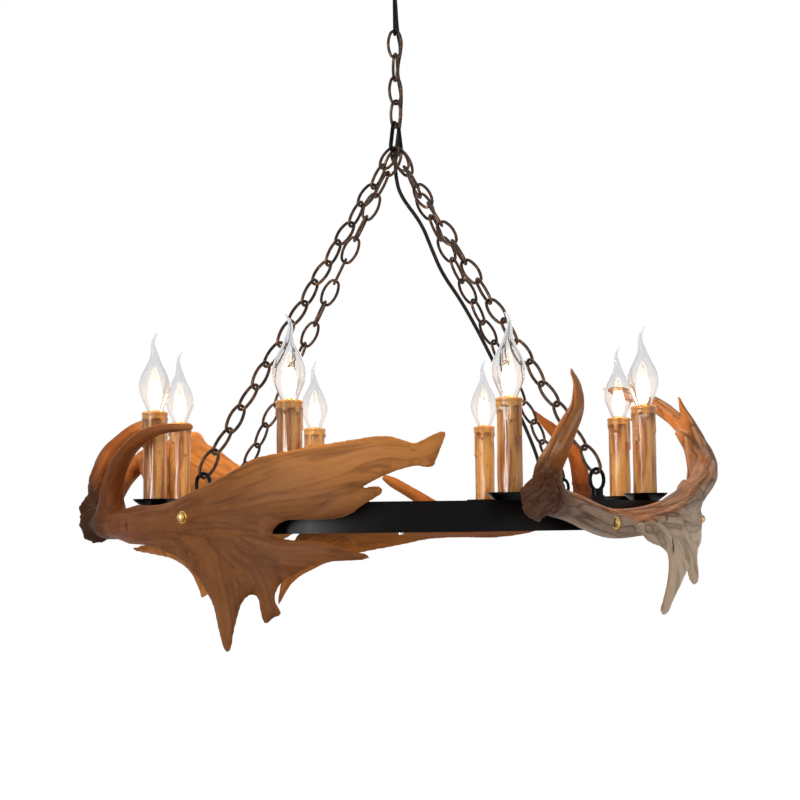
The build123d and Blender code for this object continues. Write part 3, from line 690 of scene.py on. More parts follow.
def round_field(axes, centre, direction, radius, half_length):
    """Distance from a short round bar."""
    along, distance2 = along_and_off(axes, centre, direction)
    side = np.sqrt(np.maximum(distance2 - along * along, 0))
    return np.maximum(side - radius, np.abs(along) - half_length)


def egg_field(axes, centre, direction, radius, half_thick):
    """Distance from a flattened ball, its short axis along the direction."""
    along, distance2 = along_and_off(axes, centre, direction)
    distance2 = distance2 + 1e-4
    side2 = np.maximum(distance2 - along * along, 0)
    scale = np.sqrt((along / half_thick) ** 2 + side2 / radius**2) + 1e-4
    distance = np.sqrt(distance2)
    return np.clip(distance - distance / scale, -far_off, far_off)


def on_drum(radius, degrees, height):
    """A point round the ring's axis, with its height counted from the eye level."""
    angle = math.radians(degrees)
    level = eye_level / mm + height
    return np.array([radius * math.sin(angle), -radius * math.cos(angle), level])


def cut_out(field, piece):
    np.maximum(field, -piece, out=field)


# %% Seats and room for the ring
ring_gap = 0.6  # millimetres, as are the others here
seat_foot = round(ring_radius / mm) + 1
seat_radius = 9.5
washer_room = 7.4
washer_depth = 15.0
still_radius, still_fade = 7.5, 4
band_low, band_high = ring_low.z / mm - 0.8, ring_top / mm + 0.8


def add_seat(axes, field, degrees, height, seat):
    """A flat seat for a bolt's washer, on a boss that reaches to the ring."""
    middle = on_drum((seat + seat_foot) / 2, degrees, height)
    half_length = (seat - seat_foot) / 2
    out = outward_of(middle)
    press_on(field, round_field(axes, middle, out, seat_radius, half_length), boss_fillet)
    above = middle + out * (half_length + washer_depth)
    cut_out(field, round_field(axes, above, out, washer_room, washer_depth))


def keep_off_ring(axes, field):
    x, y = np.meshgrid(axes[0], axes[1], indexing="ij")
    to_ring = (ring_radius / mm + ring_gap - np.hypot(x, y))[..., None]
    band = np.maximum(band_low - axes[2], axes[2] - band_high)[None, None, :]
    cut_out(field, np.maximum(-to_ring, band))


# %% [markdown]
# Antler grain runs along each limb and fans out into the palm. For every point of the surface,
# the nearest limbs and veins are found, and noise is stretched along them. The same noise cuts
# the grooves and tints the surface, so colour and shape agree.


# %% Grain
def growth_lines(antler):
    """The middle lines of the limbs, and of the palms' veins laid on their drums."""
    lines = [smooth_path(limb)[:, :3] for limb in antler["limbs"]]
    widths = [max(row[3] for row in limb) for limb in antler["limbs"]]
    for plate in antler["plates"]:
        for vein in plate["veins"]:
            lines.append(bend_round(plate, smooth_path(vein, 4)))
            widths.append(plate["thick"])
    return lines, widths


def grain(points, antler):
    """Coarse and fine grain along the growth lines, from -1 to 1."""
    lines, widths = growth_lines(antler)
    gaps, coarse, fine = [], [], []
    bend = lattice_noise(points / 26.0, 5)
    for index, (line, width) in enumerate(zip(lines, widths)):
        distance, along, offset = polyline_distance(points, line)
        gaps.append(np.maximum(distance - width, 0) + 0.02 * distance)
        slow = np.column_stack([along / 90 + 17 * index, offset[:, 0], offset[:, 1]])
        slow[:, 1:] /= 9.0
        slow[:, 2] += offset[:, 2] / 6.5
        quick = np.column_stack([along / 32, offset[:, 0] / 2.9, offset[:, 1] / 2.9])
        quick[:, 2] += offset[:, 2] / 2.5
        slow[:, 1] += 0.5 * bend
        quick[:, 1] += 1.1 * bend
        coarse.append(lattice_noise(slow, index))
        fine.append(lattice_noise(quick, index + 40))
    weight = np.exp(-(np.array(gaps) / 5.0))
    weight /= weight.sum(0) + 1e-12
    return (np.array(coarse) * weight).sum(0), (np.array(fine) * weight).sum(0)


# %% [markdown]
# An antler is carved in three steps: the clay is laid, its surface is taken out and relaxed, and
# the grooves and the burr's beads are cut into it.


# %% Lay the clay
def raised(antler):
    """The antler with its heights counted from the frame's zero, not from the eye level."""
    level = eye_level / mm
    up = dict(antler)
    up["limbs"] = [[(*s[:2], s[2] + level, *s[3:]) for s in limb] for limb in antler["limbs"]]
    up["plates"] = [{**plate, "outline": [(u, v + level) for u, v in plate["outline"]],
                     "veins": [[(u, v + level) for u, v in vein] for vein in plate["veins"]]}
                    for plate in antler["plates"]]
    for kind in ("burrs", "slits"):
        up[kind] = [(np.array(centre) + (0, 0, level), *rest) for centre, *rest in antler[kind]]
    return up


def lay_clay(antler):
    spots = [np.array(limb)[:, :3] for limb in antler["limbs"]] + growth_lines(antler)[0]
    spots += [bend_round(plate, plate["outline"]) for plate in antler["plates"]]
    reach = np.vstack(spots)
    axes, field = clay_block(reach.min(0) - block_margin, reach.max(0) + block_margin)
    for plate in antler["plates"]:
        press_on(field, plate_field(axes, plate), palm_fillet)
    for limb in antler["limbs"]:
        press_on(field, limb_field(axes, field.shape, smooth_path(limb)), antler["fillet"])
    for burr in antler["burrs"]:
        press_on(field, egg_field(axes, *burr), boss_fillet)
    for bolt in antler["bolts"]:
        add_seat(axes, field, *bolt)
    for slit in antler["slits"]:
        cut_out(field, egg_field(axes, *slit))
    keep_off_ring(axes, field)
    return axes, field


# %% Take its surface
def keep_largest(piece):
    """Drops stray crumbs that aren't joined to the antler."""
    shape = bmesh.new()
    shape.from_mesh(piece.data)
    left = set(shape.verts)
    groups = []
    while left:
        seed = left.pop()
        group, edge = {seed}, [seed]
        while edge:
            vertex = edge.pop()
            for side in vertex.link_edges:
                other = side.other_vert(vertex)
                if other in left:
                    left.discard(other)
                    group.add(other)
                    edge.append(other)
        groups.append(group)
    groups.sort(key=len)
    crumbs = [v for group in groups[:-1] for v in group]
    bmesh.ops.delete(shape, geom=crumbs, context="VERTS")
    shape.to_mesh(piece.data)
    shape.free()


def round_off(piece):
    """Relaxes the cells' steps and divides each face in four."""
    relax = piece.modifiers.new("relax", "SMOOTH")
    relax.factor = 0.5
    relax.iterations = 2
    divide = piece.modifiers.new("divide", "SUBSURF")
    divide.levels = 1
    divide.render_levels = 1
    ready = piece.evaluated_get(bpy.context.evaluated_depsgraph_get())
    done = bpy.data.meshes.new_from_object(ready)
    piece.modifiers.clear()
    old = piece.data
    piece.data = done
    bpy.data.meshes.remove(old)


def take_surface(name, axes, field):
    grid = openvdb.FloatGrid(background=far_off)
    grid.copyFromArray(np.ascontiguousarray(field, np.float32))
    points, quads = grid.convertToQuads(isovalue=0.0)
    points = points * cell + [axis[0] for axis in axes]
    piece = make_piece(name, points * mm, quads)
    keep_largest(piece)
    face_outwards(piece)
    round_off(piece)
    return piece


# %% Cut the grain
def point_attribute(mesh, name, values):
    made = mesh.attributes.new(name, "FLOAT", "POINT")
    made.data.foreach_set("value", np.asarray(values, np.float32))


def read_rows(things, name):
    flat = np.empty(len(things) * 3)
    things.foreach_get(name, flat)
    return flat.reshape(-1, 3)


def near_burr(points, antler):
    """1 inside a burr, falling to 0 where its roughness ends."""
    rough = np.zeros(len(points))
    for centre, _, radius, _ in antler["burrs"]:
        distance = np.sqrt(((points - centre) ** 2).sum(1))
        rough = np.maximum(rough, np.clip(1 - (distance - radius) / antler["rough_reach"], 0, 1))
    return rough


def calm_near_bolts(points, antler):
    """0 on a seat and along the ring, where the surface stays as it is, and 1 elsewhere."""
    calm = np.ones(len(points))
    for degrees, height, seat in antler["bolts"]:
        distance = np.sqrt(((points - on_drum(seat, degrees, height)) ** 2).sum(1))
        calm = np.minimum(calm, np.clip((distance - still_radius) / still_fade, 0, 1))
    height = points[:, 2]
    inner = np.hypot(points[:, 0], points[:, 1]) < ring_radius / mm + ring_gap + 1
    calm[inner & (height > band_low - 2) & (height < band_high + 2)] = 0
    return calm


def in_slits(points, antler, groove_tone_and_slit_shade):
    """Adds painted shade inside the slits to the mask of the dark grooves."""
    for centre, direction, radius, half_thick in antler["slits"]:
        away = points - centre
        along = away @ (np.array(direction) / np.linalg.norm(direction))
        side2 = (away**2).sum(1) - along**2
        inside = 1.9 - np.sqrt((along / half_thick) ** 2 + side2 / radius**2)
        groove_tone_and_slit_shade = np.maximum(groove_tone_and_slit_shade, 1.3 * np.clip(inside, 0, 1))
    return groove_tone_and_slit_shade


# %% Carve one antler
def carve(name, drawn):
    antler = raised(drawn)
    piece = take_surface(name, *lay_clay(antler))
    mesh = piece.data
    points = read_rows(mesh.vertices, "co") / mm
    normals = read_rows(mesh.vertex_normals, "vector")
    coarse, fine = grain(points, antler)
    rough = near_burr(points, antler)
    grooves = -np.clip(1 - 3.2 * np.abs(coarse), 0, 1) * antler["groove"] + fine * antler["fine"]
    pearls = 2.6 * np.clip(lattice_noise(points / 4.6, 9), 0, 1)
    swells = 1.6 * lattice_noise(points / 9.0, 19)
    lift = grooves * (0.55 + 0.45 * rough) + (pearls + swells) * rough**2
    lift *= calm_near_bolts(points, antler)
    mesh.vertices.foreach_set("co", ((points + normals * lift[:, None]) * mm).ravel())
    groove_tone_and_slit_shade = np.clip(-lift / antler["groove"], 0, 1)
    point_attribute(mesh, "grain", coarse)
    point_attribute(mesh, "fine_grain", fine)
    point_attribute(mesh, "rough_root", rough)
    # The grooves' own dark tone, and painted shade inside the slits.
    point_attribute(mesh, "groove_tone_and_slit_shade", in_slits(points, antler, groove_tone_and_slit_shade))
    # The pale and warm areas are partly the antler's own tone and partly painted lamp light on the
    # tops of some antlers.
    for area in ("pale_tone_and_lamp_lit_top", "warm_tone_and_lamp_lit_top"):
        point_attribute(mesh, area, antler[area](points - (0, 0, eye_level / mm), normals))
    mesh.update()
    print(name, "faces", len(mesh.polygons))
    return piece


# %% [markdown]
# The front left antler is the one nearest the eye: a smooth, warm brown palm with a long upper
# lobe, a lower lobe and two points below. Limb rows are x, y, height, and half widths outwards
# and upwards, in millimetres. Palm outlines are (sideways, height). A burr is its centre, the way
# it faces, its radius and half its thickness, and so is a slit. A bolt is its place round the
# ring in degrees, its height, and how far from the ring's axis its seat lies. The pale and warm
# areas are functions of the points and the normals. Here the pale area is painted lamp light, a
# golden top on the upper lobe.

# %% Front left antler
def fade(values, start, end):
    """0 at start and before it, rising to 1 at end."""
    return np.clip((values - start) / (end - start), 0, 1)


left_front = {
    "limbs": [
        [(-337, -58, 4, 14, 14), (-319, -88, 3, 15, 15), (-286, -140, 2, 13, 15),
         (-247, -194, 3, 10, 15), (-202, -240, 4, 9, 15), (-158, -270, 2, 8, 12),
         (-136, -281, 0, 6, 6)],
        [(-322, -80, 6, 15, 15), (-318, -92, 44, 12, 12), (-304, -112, 74, 10, 10),
         (-282, -134, 94, 7.5, 7.5), (-258, -148, 104, 6, 6), (-224, -154, 106, 3.4, 3.4)],
    ],
    "plates": [{
        "facing": 0, "radius": 321, "thick": 4.6, "edge": 1.7, "rim": 17, "seed": 3,
        "vein_height": 1.3, "vein_width": 17,
        "outline": [
            (-285, 20), (-267, 17), (-248, 19), (-226, 29), (-200, 40), (-167, 55), (-145, 67),
            (-119, 71), (-93, 76), (-57, 81), (-15, 87), (8, 80), (14, 77), (28, 84), (43, 91),
            (46, 88), (37, 66), (32, 54), (15, 57), (-7, 51), (-33, 39), (-45, 30), (-36, 35),
            (-22, 37), (-16, 33), (-20, 28), (-37, 19), (-50, 9), (-68, 5), (-108, 6), (-119, 3),
            (-127, -4), (-127, -12), (-114, -15), (-78, -16), (-52, -26), (-34, -29), (-30, -33),
            (-40, -35), (-65, -36), (-83, -38), (-108, -50), (-121, -58), (-127, -73),
            (-118, -88), (-127, -91), (-135, -99), (-139, -88), (-141, -71), (-149, -67),
            (-159, -75), (-164, -90), (-168, -105), (-171, -124), (-176, -127), (-180, -118),
            (-185, -97), (-189, -79), (-198, -64), (-209, -49), (-226, -33), (-248, -24),
            (-271, -17), (-296, -11)],
        "veins": [
            [(-290, 4), (-226, 6), (-160, 24), (-90, 50), (-20, 68), (16, 68), (40, 84)],
            [(-226, 18), (-167, 44), (-110, 62), (-40, 74), (6, 72)],
            [(-190, 6), (-130, 20), (-80, 26), (-40, 36), (-22, 33)],
            [(-250, 0), (-200, -20), (-180, -60), (-176, -118)],
            [(-190, -10), (-150, -40), (-134, -70), (-130, -92)],
            [(-180, -4), (-130, -24), (-80, -27), (-38, -32)],
        ],
    }],
    "burrs": [((-340, -52, 3), (-0.25, 0.97, 0), 21, 8)],
    "bolts": [(-43, 9, 326)],
    "slits": [((-296, -155, 0), (0.46, -0.89, 0.15), 7, 1.6)],
    "fillet": 13.0, "groove": 0.28, "fine": 0.20, "rough_reach": 42,
    # Painted lamp light: the upper lobe is tinted golden, as the bulbs above light it.
    "pale_tone_and_lamp_lit_top": lambda p, n: fade(p[:, 0], -230, -70) * fade(p[:, 2], 12, 62),
    "warm_tone_and_lamp_lit_top": lambda p, n: fade(p[:, 0], -235, -295),
}

# %% [markdown]
# Its neighbour behind shows its burr, its brow tine and the upper edge of its palm.

# %% Back left antler
left_back = {
    "limbs": [
        [(-351, 34, 20, 14, 14), (-345, 62, 34, 14.5, 14.5), (-334, 96, 60, 13, 13),
         (-316, 134, 80, 11.5, 12), (-290, 165, 82, 10, 14), (-258, 194, 72, 8, 14),
         (-224, 226, 56, 5, 10)],
        [(-281, 156, 6, 8, 8), (-252, 187, 5, 12.5, 13), (-213, 230, 5, 12.5, 13),
         (-172, 262, 4, 12, 12), (-140, 280, 2, 7, 7)],
        [(-350, 40, 24, 14, 14), (-355, 32, 52, 10.5, 10.5), (-345, 34, 84, 8.5, 8.5),
         (-324, 38, 106, 7.5, 7.5), (-302, 42, 120, 6, 6), (-284, 46, 130, 2.6, 2.6)],
    ],
    "plates": [{
        "facing": 180, "radius": 321, "thick": 4.2, "edge": 1.7, "rim": 15, "seed": 8,
        "vein_height": 2.4, "vein_width": 11,
        "outline": [
            (316, 84), (304, 98), (274, 112), (260, 120), (252, 117), (246, 103), (234, 99),
            (216, 82), (182, 62), (133, 34), (93, 13), (133, -6), (166, -26), (171, -85),
            (175, -125), (180, -104), (186, -88), (200, -80), (218, -76), (241, -83),
            (252, -92), (254, -80), (263, -57), (280, -40), (301, -33), (318, -27),
            (303, -20), (296, -4), (301, 34), (310, 61)],
        "veins": [
            [(300, 70), (258, 110)], [(300, 50), (230, 60), (160, 36), (108, 14)],
            [(290, 0), (230, -30), (186, -70), (176, -116)],
            [(280, -20), (256, -50), (250, -86)],
        ],
    }],
    "burrs": [((-353, 26, 17), (-0.2, -0.95, -0.25), 23, 10)],
    "bolts": [(-127, 5, 326), (-146, 5, 326)],
    "slits": [],
    "fillet": 12.0, "groove": 0.6, "fine": 0.22, "rough_reach": 46,
    "pale_tone_and_lamp_lit_top": lambda p, n: 0.7 * fade(p[:, 0], -320, -240),
    "warm_tone_and_lamp_lit_top": lambda p, n: fade(p[:, 0], -300, -330),
}

# %% [markdown]
# The right hand antler turns its burr to the front. Its long beam sweeps round the ring and up,
# deeply grooved and greyer than the others, with a pale palm hanging below.

# %% Right front antler
right_front = {
    "limbs": [
        [(140, -324, 22, 15, 15), (170, -290, 14, 15, 15), (208, -241, -1, 14, 15.5),
         (243, -200, -2, 14, 15.5), (281, -151, 7, 14, 14.5), (315, -95, 24, 14, 14),
         (343, -35, 42, 13.5, 13.5), (359, 20, 60, 12.5, 12.5), (361, 75, 84, 12, 12),
         (350, 122, 112, 11, 11), (331, 160, 137, 10, 10), (306, 188, 155, 9, 9),
         (280, 204, 164, 7, 7), (262, 210, 168, 2.5, 2.5)],
        [(143, -318, 28, 15, 15), (145, -318, 50, 14, 14), (155, -314, 70, 12, 12),
         (165, -306, 91, 10.5, 10.5), (176, -301, 113, 8, 8), (177, -298, 134, 5, 5),
         (171, -298, 151, 1.8, 1.8)],
        [(357, 96, 96, 7, 9), (353, 108, 118, 6, 7), (347, 116, 136, 4, 4),
         (343, 119, 150, 1.8, 1.8)],
    ],
    "plates": [
        {"facing": 72, "radius": 338, "thick": 4.2, "edge": 1.7, "rim": 14, "seed": 12,
         "vein_height": 2.2, "vein_width": 10,
         "outline": [
             (-142, 4), (-138, -19), (-125, -24), (-108, -28), (-92, -34), (-88, -44),
             (-90, -58), (-99, -77), (-110, -92), (-107, -99), (-98, -94), (-86, -84),
             (-74, -76), (-55, -62), (-34, -50), (-27, -52), (-22, -60), (-14, -70), (-4, -69),
             (-2, -56), (4, -40), (20, -30), (90, -22), (140, -22), (172, -4), (182, 22),
             (160, 48), (110, 46), (60, 34), (0, 26), (-60, 14)],
         "veins": [
             [(-132, -6), (-100, -28), (-86, -56), (-104, -93)],
             [(-70, -10), (-34, -36), (-10, -64)],
             [(-120, 0), (-20, -6), (80, 8), (170, 14)],
         ]},
        {"facing": 103, "radius": 351, "thick": 3.8, "edge": 1.6, "rim": 12, "seed": 21,
         "vein_height": 1.6, "vein_width": 9,
         "outline": [
             (-70, 44), (-30, 38), (-6, 44), (-9, 58), (-9, 71), (0, 84), (14, 96),
             (26, 108), (8, 106), (-30, 84)],
         "veins": [[(-50, 50), (-24, 66), (6, 98)]]},
    ],
    "burrs": [((134, -331, 23), (-0.66, -0.72, 0.2), 22, 9)],
    "bolts": [(42, -2, 327), (78, 1, 341)],
    "slits": [((284, -204, 4), (-0.35, -0.49, 0.8), 7, 1.7),
              ((286, -191, -25), (0.58, 0.81, 0.25), 7, 1.7)],
    "fillet": 12.0, "groove": 1.4, "fine": 0.45, "rough_reach": 26,
    "pale_tone_and_lamp_lit_top": lambda p, n: fade(p[:, 2], 8, -22) * fade(p[:, 0], 235, 285),
    # Painted lamp light: faces that turn upwards, and the upper beam, are tinted orange as the
    # bulbs light them.
    "warm_tone_and_lamp_lit_top": lambda p, n: np.maximum(fade(n[:, 2], 0.25, 0.65), fade(p[:, 2], 30, 54)),
}

# %% [markdown]
# The last antler lies along the back of the ring, seen through the others.

# %% Right back antler
right_back = {
    "limbs": [
        [(238, 224, 20, 14, 14), (224, 237, 14, 14, 14), (197, 251, 8, 13.5, 13.5),
         (150, 276, 2, 13, 13.5), (95, 299, -2, 13, 13), (40, 311, -3, 12.5, 12),
         (-15, 313, -4, 11, 9), (-60, 312, -8, 6, 6)],
        [(235, 226, 20, 14, 14), (232, 227, 54, 11.5, 11.5), (224, 228, 88, 10, 10),
         (200, 236, 116, 8, 8), (184, 241, 132, 5, 5), (173, 244, 144, 2, 2)],
    ],
    "plates": [{
        "facing": 180, "radius": 321, "thick": 4.2, "edge": 1.7, "rim": 13, "seed": 30,
        "vein_height": 2.2, "vein_width": 10,
        "outline": [
            (-170, 8), (-147, 12), (-68, 15), (-41, 34), (18, 68), (27, 58), (-30, 22),
            (-1, 14), (53, 33), (93, 13), (132, -6), (151, -46), (164, -112), (147, -80),
            (132, -66), (99, -50), (79, -44), (59, -38), (-1, -28), (-51, -16), (-92, -16),
            (-121, -19), (-144, -16), (-170, -8)],
        "veins": [
            [(-150, 0), (-60, 2), (0, 0), (60, 8), (88, 12)], [(-60, 8), (-36, 24), (22, 63)],
            [(60, -8), (120, -40), (160, -102)],
        ],
    }],
    "burrs": [((243, 219, 21), (0.72, -0.66, 0.2), 19, 9)],
    "bolts": [(148, 2, 326), (171, -1, 326)],
    "slits": [],
    "fillet": 12.0, "groove": 0.6, "fine": 0.25, "rough_reach": 42,
    "pale_tone_and_lamp_lit_top": lambda p, n: 0.6 * fade(p[:, 0], 80, -20),
    "warm_tone_and_lamp_lit_top": lambda p, n: fade(p[:, 2], 10, 50),
}


# %% [markdown]
# Antler is bone: darkest in its grooves and at the rough root, and worn paler on ridges, edges
# and points. The colours differ from one antler to the next, so the material takes them as
# arguments. The grain that cut the grooves also tints them. The slits get painted shade, and the
# pale and warm areas carry painted lamp light on the tops of some antlers.


# %% Antler finish
def attribute(tree, name):
    node = tree.nodes.new("ShaderNodeAttribute")
    node.attribute_name = name
    return node.outputs["Fac"]


def bone(name, deep, body, worn, tip, root, warm_tone_and_lamp_lit_top, lines=0.25):
    """deep fills the grooves and cracks, and lines is how clearly the cracks show."""
    material, tree, shader, where = surface(name, Specular_IOR_Level=0.07)
    coarse, fine_grain = attribute(tree, "grain"), attribute(tree, "fine_grain")
    patch = place_group(tree, patches, where, Scale=16.0, Cover=0.42)
    small = place_group(tree, patches, where, Scale=85.0, Cover=0.5)
    edge = place_group(tree, rubbed, where, Amount=0.55)
    streak = ramp(tree, coarse, -0.35, 0.5)
    fine = ramp(tree, fine_grain, -0.6, 0.6)
    hair = ramp(tree, math_node(tree, "ABSOLUTE", fine_grain), 0.17, 0.0)
    groove = ramp(tree, math_node(tree, "ABSOLUTE", coarse), 0.10, 0.0)
    crack = math_node(tree, "MAXIMUM", scaled(tree, hair, 0.65), groove)
    colour = coat(
        tree, mix_colour(tree, patch, body, worn),
        # warm tone, and painted lamp light on the tops of some antlers
        (ramp(tree, attribute(tree, "warm_tone_and_lamp_lit_top"), 0.0, 0.8), 1.0, warm_tone_and_lamp_lit_top),
        (streak, 0.25, deep),
        (small, 0.16, deep),
        (fine, 0.36, worn),
        (crack, lines, deep),
        # pale tone, and a painted lamp-lit top on the front left antler
        (attribute(tree, "pale_tone_and_lamp_lit_top"), 1.0, tip),
        # dark groove tone, and painted shade inside the slits
        (attribute(tree, "groove_tone_and_slit_shade"), 0.75, deep),
        (edge, 1.0, tip),
        (attribute(tree, "rough_root"), 0.93, root))
    fill(tree, shader, Base_Color=colour, Roughness=scaled(tree, streak, 0.12, 0.50))
    height = math_node(tree, "ADD", noise(tree, where, 1100.0, 4.0, 0.7), scaled(tree, fine, 0.8))
    height = math_node(tree, "SUBTRACT", height, scaled(tree, crack, 2.0 * lines))
    bump(tree, shader, height, 0.35, 0.0006)
    return material


brown_bone = bone("brown_antler", (0.095, 0.032, 0.009), (0.210, 0.070, 0.019),
                  (0.26, 0.096, 0.028), (0.56, 0.22, 0.058), (0.040, 0.016, 0.007),
                  (0.21, 0.052, 0.009))
dark_bone = bone("dark_antler", (0.090, 0.030, 0.008), (0.39, 0.140, 0.040),
                 (0.48, 0.190, 0.056), (0.58, 0.24, 0.066), (0.034, 0.012, 0.005),
                 (0.27, 0.078, 0.016))
grey_bone = bone("grey_antler", (0.035, 0.015, 0.007), (0.33, 0.215, 0.145),
                 (0.44, 0.320, 0.235), (0.58, 0.43, 0.30), (0.060, 0.019, 0.008),
                 (0.30, 0.098, 0.018), lines=0.55)
orange_bone = bone("orange_antler", (0.11, 0.028, 0.006), (0.22, 0.060, 0.010),
                   (0.30, 0.090, 0.017), (0.42, 0.16, 0.038), (0.070, 0.020, 0.006),
                   (0.26, 0.076, 0.016))

# %% Carve the four antlers
antlers = {
    "antler_left_front": (left_front, brown_bone),
    "antler_left_back": (left_back, dark_bone),
    "antler_right_front": (right_front, grey_bone),
    "antler_right_back": (right_back, orange_bone),
}
for node, (antler, finish) in antlers.items():
    piece = carve("carved_" + node, antler)
    dress(piece, finish)
    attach(piece, "lamp_ring")
    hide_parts(node)

# %% [markdown]
# ## Candle sleeves
# Each sleeve is a tube dressed as a burnt-down candle: a rolled rim, a collar of wax that hangs
# in arches, a few long runs that end in a bead, and a lightly fluted side. Everything is a radius
# that depends on the angle and the height, so one lathe makes it, with no joins.

# %% Sleeve shape
sleeve_low, sleeve_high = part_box("candle_sleeve_1")
sleeve_height = sleeve_high.z - ring_top
sleeve_foot = sleeve_low.z - ring_top
tube_radius = 12.8 * mm
bore_radius = 12.25 * mm


def wax_runs(number):
    """Where the runs are, how far down each reaches, and how wide it is."""
    rng = np.random.default_rng(700 + number)
    count = 6
    spots = (np.arange(count) + rng.uniform(-0.16, 0.16, count)) * 2 * math.pi / count
    drops = rng.choice([12, 14, 17, 24, 31, 40], count, replace=False) * mm
    widths = rng.uniform(0.10, 0.15, count)
    return spots + rng.uniform(0, 1), drops, widths


def eased(value, low, high):
    t = min(max((value - low) / (high - low), 0), 1)
    return t * t * (3 - 2 * t)


def arch_edge(nearest):
    """How far down the collar reaches: round arches that come down at the runs."""
    rise = np.clip(1 - nearest / 0.5, 0, 1)
    return (8.5 + 6.0 * (1 - np.sqrt(1 - rise**2))) * mm


# %% Wax, dark marks under the runs, and painted shade under the arches
def wax_thickness(angle, depth, runs):
    """Wax over the tube at an angle, at a depth below the rim."""
    spots, drops, widths = runs
    nearest = 9.0
    run = 0.0
    for spot, drop, width in zip(spots, drops, widths):
        away = abs((angle - spot + math.pi) % (2 * math.pi) - math.pi)
        nearest = min(nearest, away)
        bead = 1 + 0.55 * math.exp(-((depth - drop + 3 * mm) / (2.6 * mm)) ** 2)
        body = math.exp(-((away / (width * bead)) ** 2)) * (0.8 + 0.4 * bead)
        run = max(run, body * (1 - eased(depth, drop - 1.5 * mm, drop + 0.5 * mm)))
    arch = arch_edge(nearest)
    collar = 1 - eased(depth, arch - 1.2 * mm, arch + 0.4 * mm)
    rim = math.exp(-(((depth - 1.9 * mm) / (1.2 * mm)) ** 2)) * 0.5
    rim -= math.exp(-(((depth - 5.0 * mm) / (1.2 * mm)) ** 2)) * 0.35
    return (max(collar * 1.1, run * 1.2) + rim) * mm


def under_runs_and_arch_shade(angles, depth, runs):
    """Darker marks just under the ends of the runs, and painted shade under the collar's arches.
    """
    found = np.zeros(len(angles))
    nearest = np.full(len(angles), 9.0)
    for spot, drop, _ in zip(*runs):
        away = np.abs((angles - spot + math.pi) % (2 * math.pi) - math.pi)
        under = np.exp(-(((depth - drop - 0.6 * mm) / (1.4 * mm)) ** 2))
        found = np.maximum(found, np.exp(-((away / 0.10) ** 2)) * under)
        nearest = np.minimum(nearest, away)
    under = depth - arch_edge(nearest)
    shade = np.exp(-np.clip(under, 0, None) / (7.5 * mm)) * np.clip(under / (0.8 * mm) + 0.6, 0, 1)
    return np.maximum(found, 0.95 * shade * np.clip((nearest - 0.12) / 0.1, 0, 1))


def streaks(angles, along, turns, length, number, seed):
    """Noise drawn out along the sleeve, and different on each."""
    return lattice_noise(np.column_stack([turns * np.cos(angles), turns * np.sin(angles),
                                          along / (length * mm) + number]), seed)


# %% One sleeve
def candle(number):
    runs = wax_runs(number)
    place = lamp_place(number)
    top = sleeve_height
    heights = [sleeve_foot, sleeve_foot + 1 * mm]
    heights += list(np.arange(8, 52, 4.0) * mm)
    heights += list(np.arange(52, top / mm - 1.2, 0.9) * mm)

    def ring(height):
        def at(angle):
            flute = 0.45 * mm * streaks([angle], height, 2.6, 30, number, 3)[0]
            flute += 0.22 * mm * streaks([angle], height, 9, 22, number, 4)[0]
            wax = wax_thickness(angle, top - height, runs)
            return min(tube_radius + flute + wax, 14.6 * mm), height
        return at

    crown = tube_radius + 0.75 * mm
    rings = [(bore_radius, sleeve_foot)] + [ring(height) for height in heights]
    rings += [(crown, top - 0.6 * mm), (crown - 0.5 * mm, top)]
    rings += [(bore_radius + 0.3 * mm, top - 0.1 * mm)]
    rings += [(bore_radius, top - depth * mm) for depth in (0.7, 12, 50)]
    rings += [(bore_radius, sleeve_foot)]
    points, faces = lathe(rings, 88)
    piece = make_piece(f"waxed_sleeve_{number}", points, faces, Matrix.Translation(place))
    face_outwards(piece, merge=True)
    around = np.array([v.co for v in piece.data.vertices]) - np.array(place)
    depth = top - around[:, 2]
    angles = np.arctan2(around[:, 1], around[:, 0])
    wax = np.array([wax_thickness(a, d, runs) / mm for a, d in zip(angles, depth)])
    point_attribute(piece.data, "wax", np.clip(wax, 0, 1))
    point_attribute(piece.data, "stripe", streaks(angles, depth, 3, 34, number, 6))
    point_attribute(piece.data, "thin_stripe", streaks(angles, depth, 9, 16, number, 7))
    # A mask of painted shade under the collar's arches, and of darker marks under the runs' ends.
    point_attribute(piece.data, "under_runs_and_arch_shade", under_runs_and_arch_shade(angles, depth, runs))
    dress(piece, waxed)
    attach(piece, "lamp_ring")
    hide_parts(f"candle_sleeve_{number}")


# %% Waxed finish
def waxed_card():
    material, tree, shader, where = surface("waxed_card", Specular_IOR_Level=0.5)
    stripe = ramp(tree, attribute(tree, "stripe"), -0.28, 0.34)
    thin = ramp(tree, attribute(tree, "thin_stripe"), -0.2, 0.5)
    small = place_group(tree, patches, where, Scale=170.0, Cover=0.55)
    colour = coat(
        tree, mix_colour(tree, stripe, (0.32, 0.090, 0.010), (0.58, 0.270, 0.055)),
        (thin, 0.30, (0.62, 0.39, 0.15)),
        (attribute(tree, "wax"), 0.55, (0.56, 0.265, 0.052)),
        (small, 0.5, (0.21, 0.085, 0.028)),
        # painted shade under the collar's arches, and darker marks under the runs' ends
        (attribute(tree, "under_runs_and_arch_shade"), 1.0, (0.10, 0.023, 0.003)))
    fill(tree, shader, Base_Color=colour, Roughness=scaled(tree, stripe, 0.06, 0.27))
    bump(tree, shader, noise(tree, where, 600.0, 4.0), 0.12, 0.0006)
    return material


waxed = waxed_card()
for number in lamp_numbers:
    candle(number)
print("sleeves", len(lamp_numbers), "height", round(sleeve_height, 4))

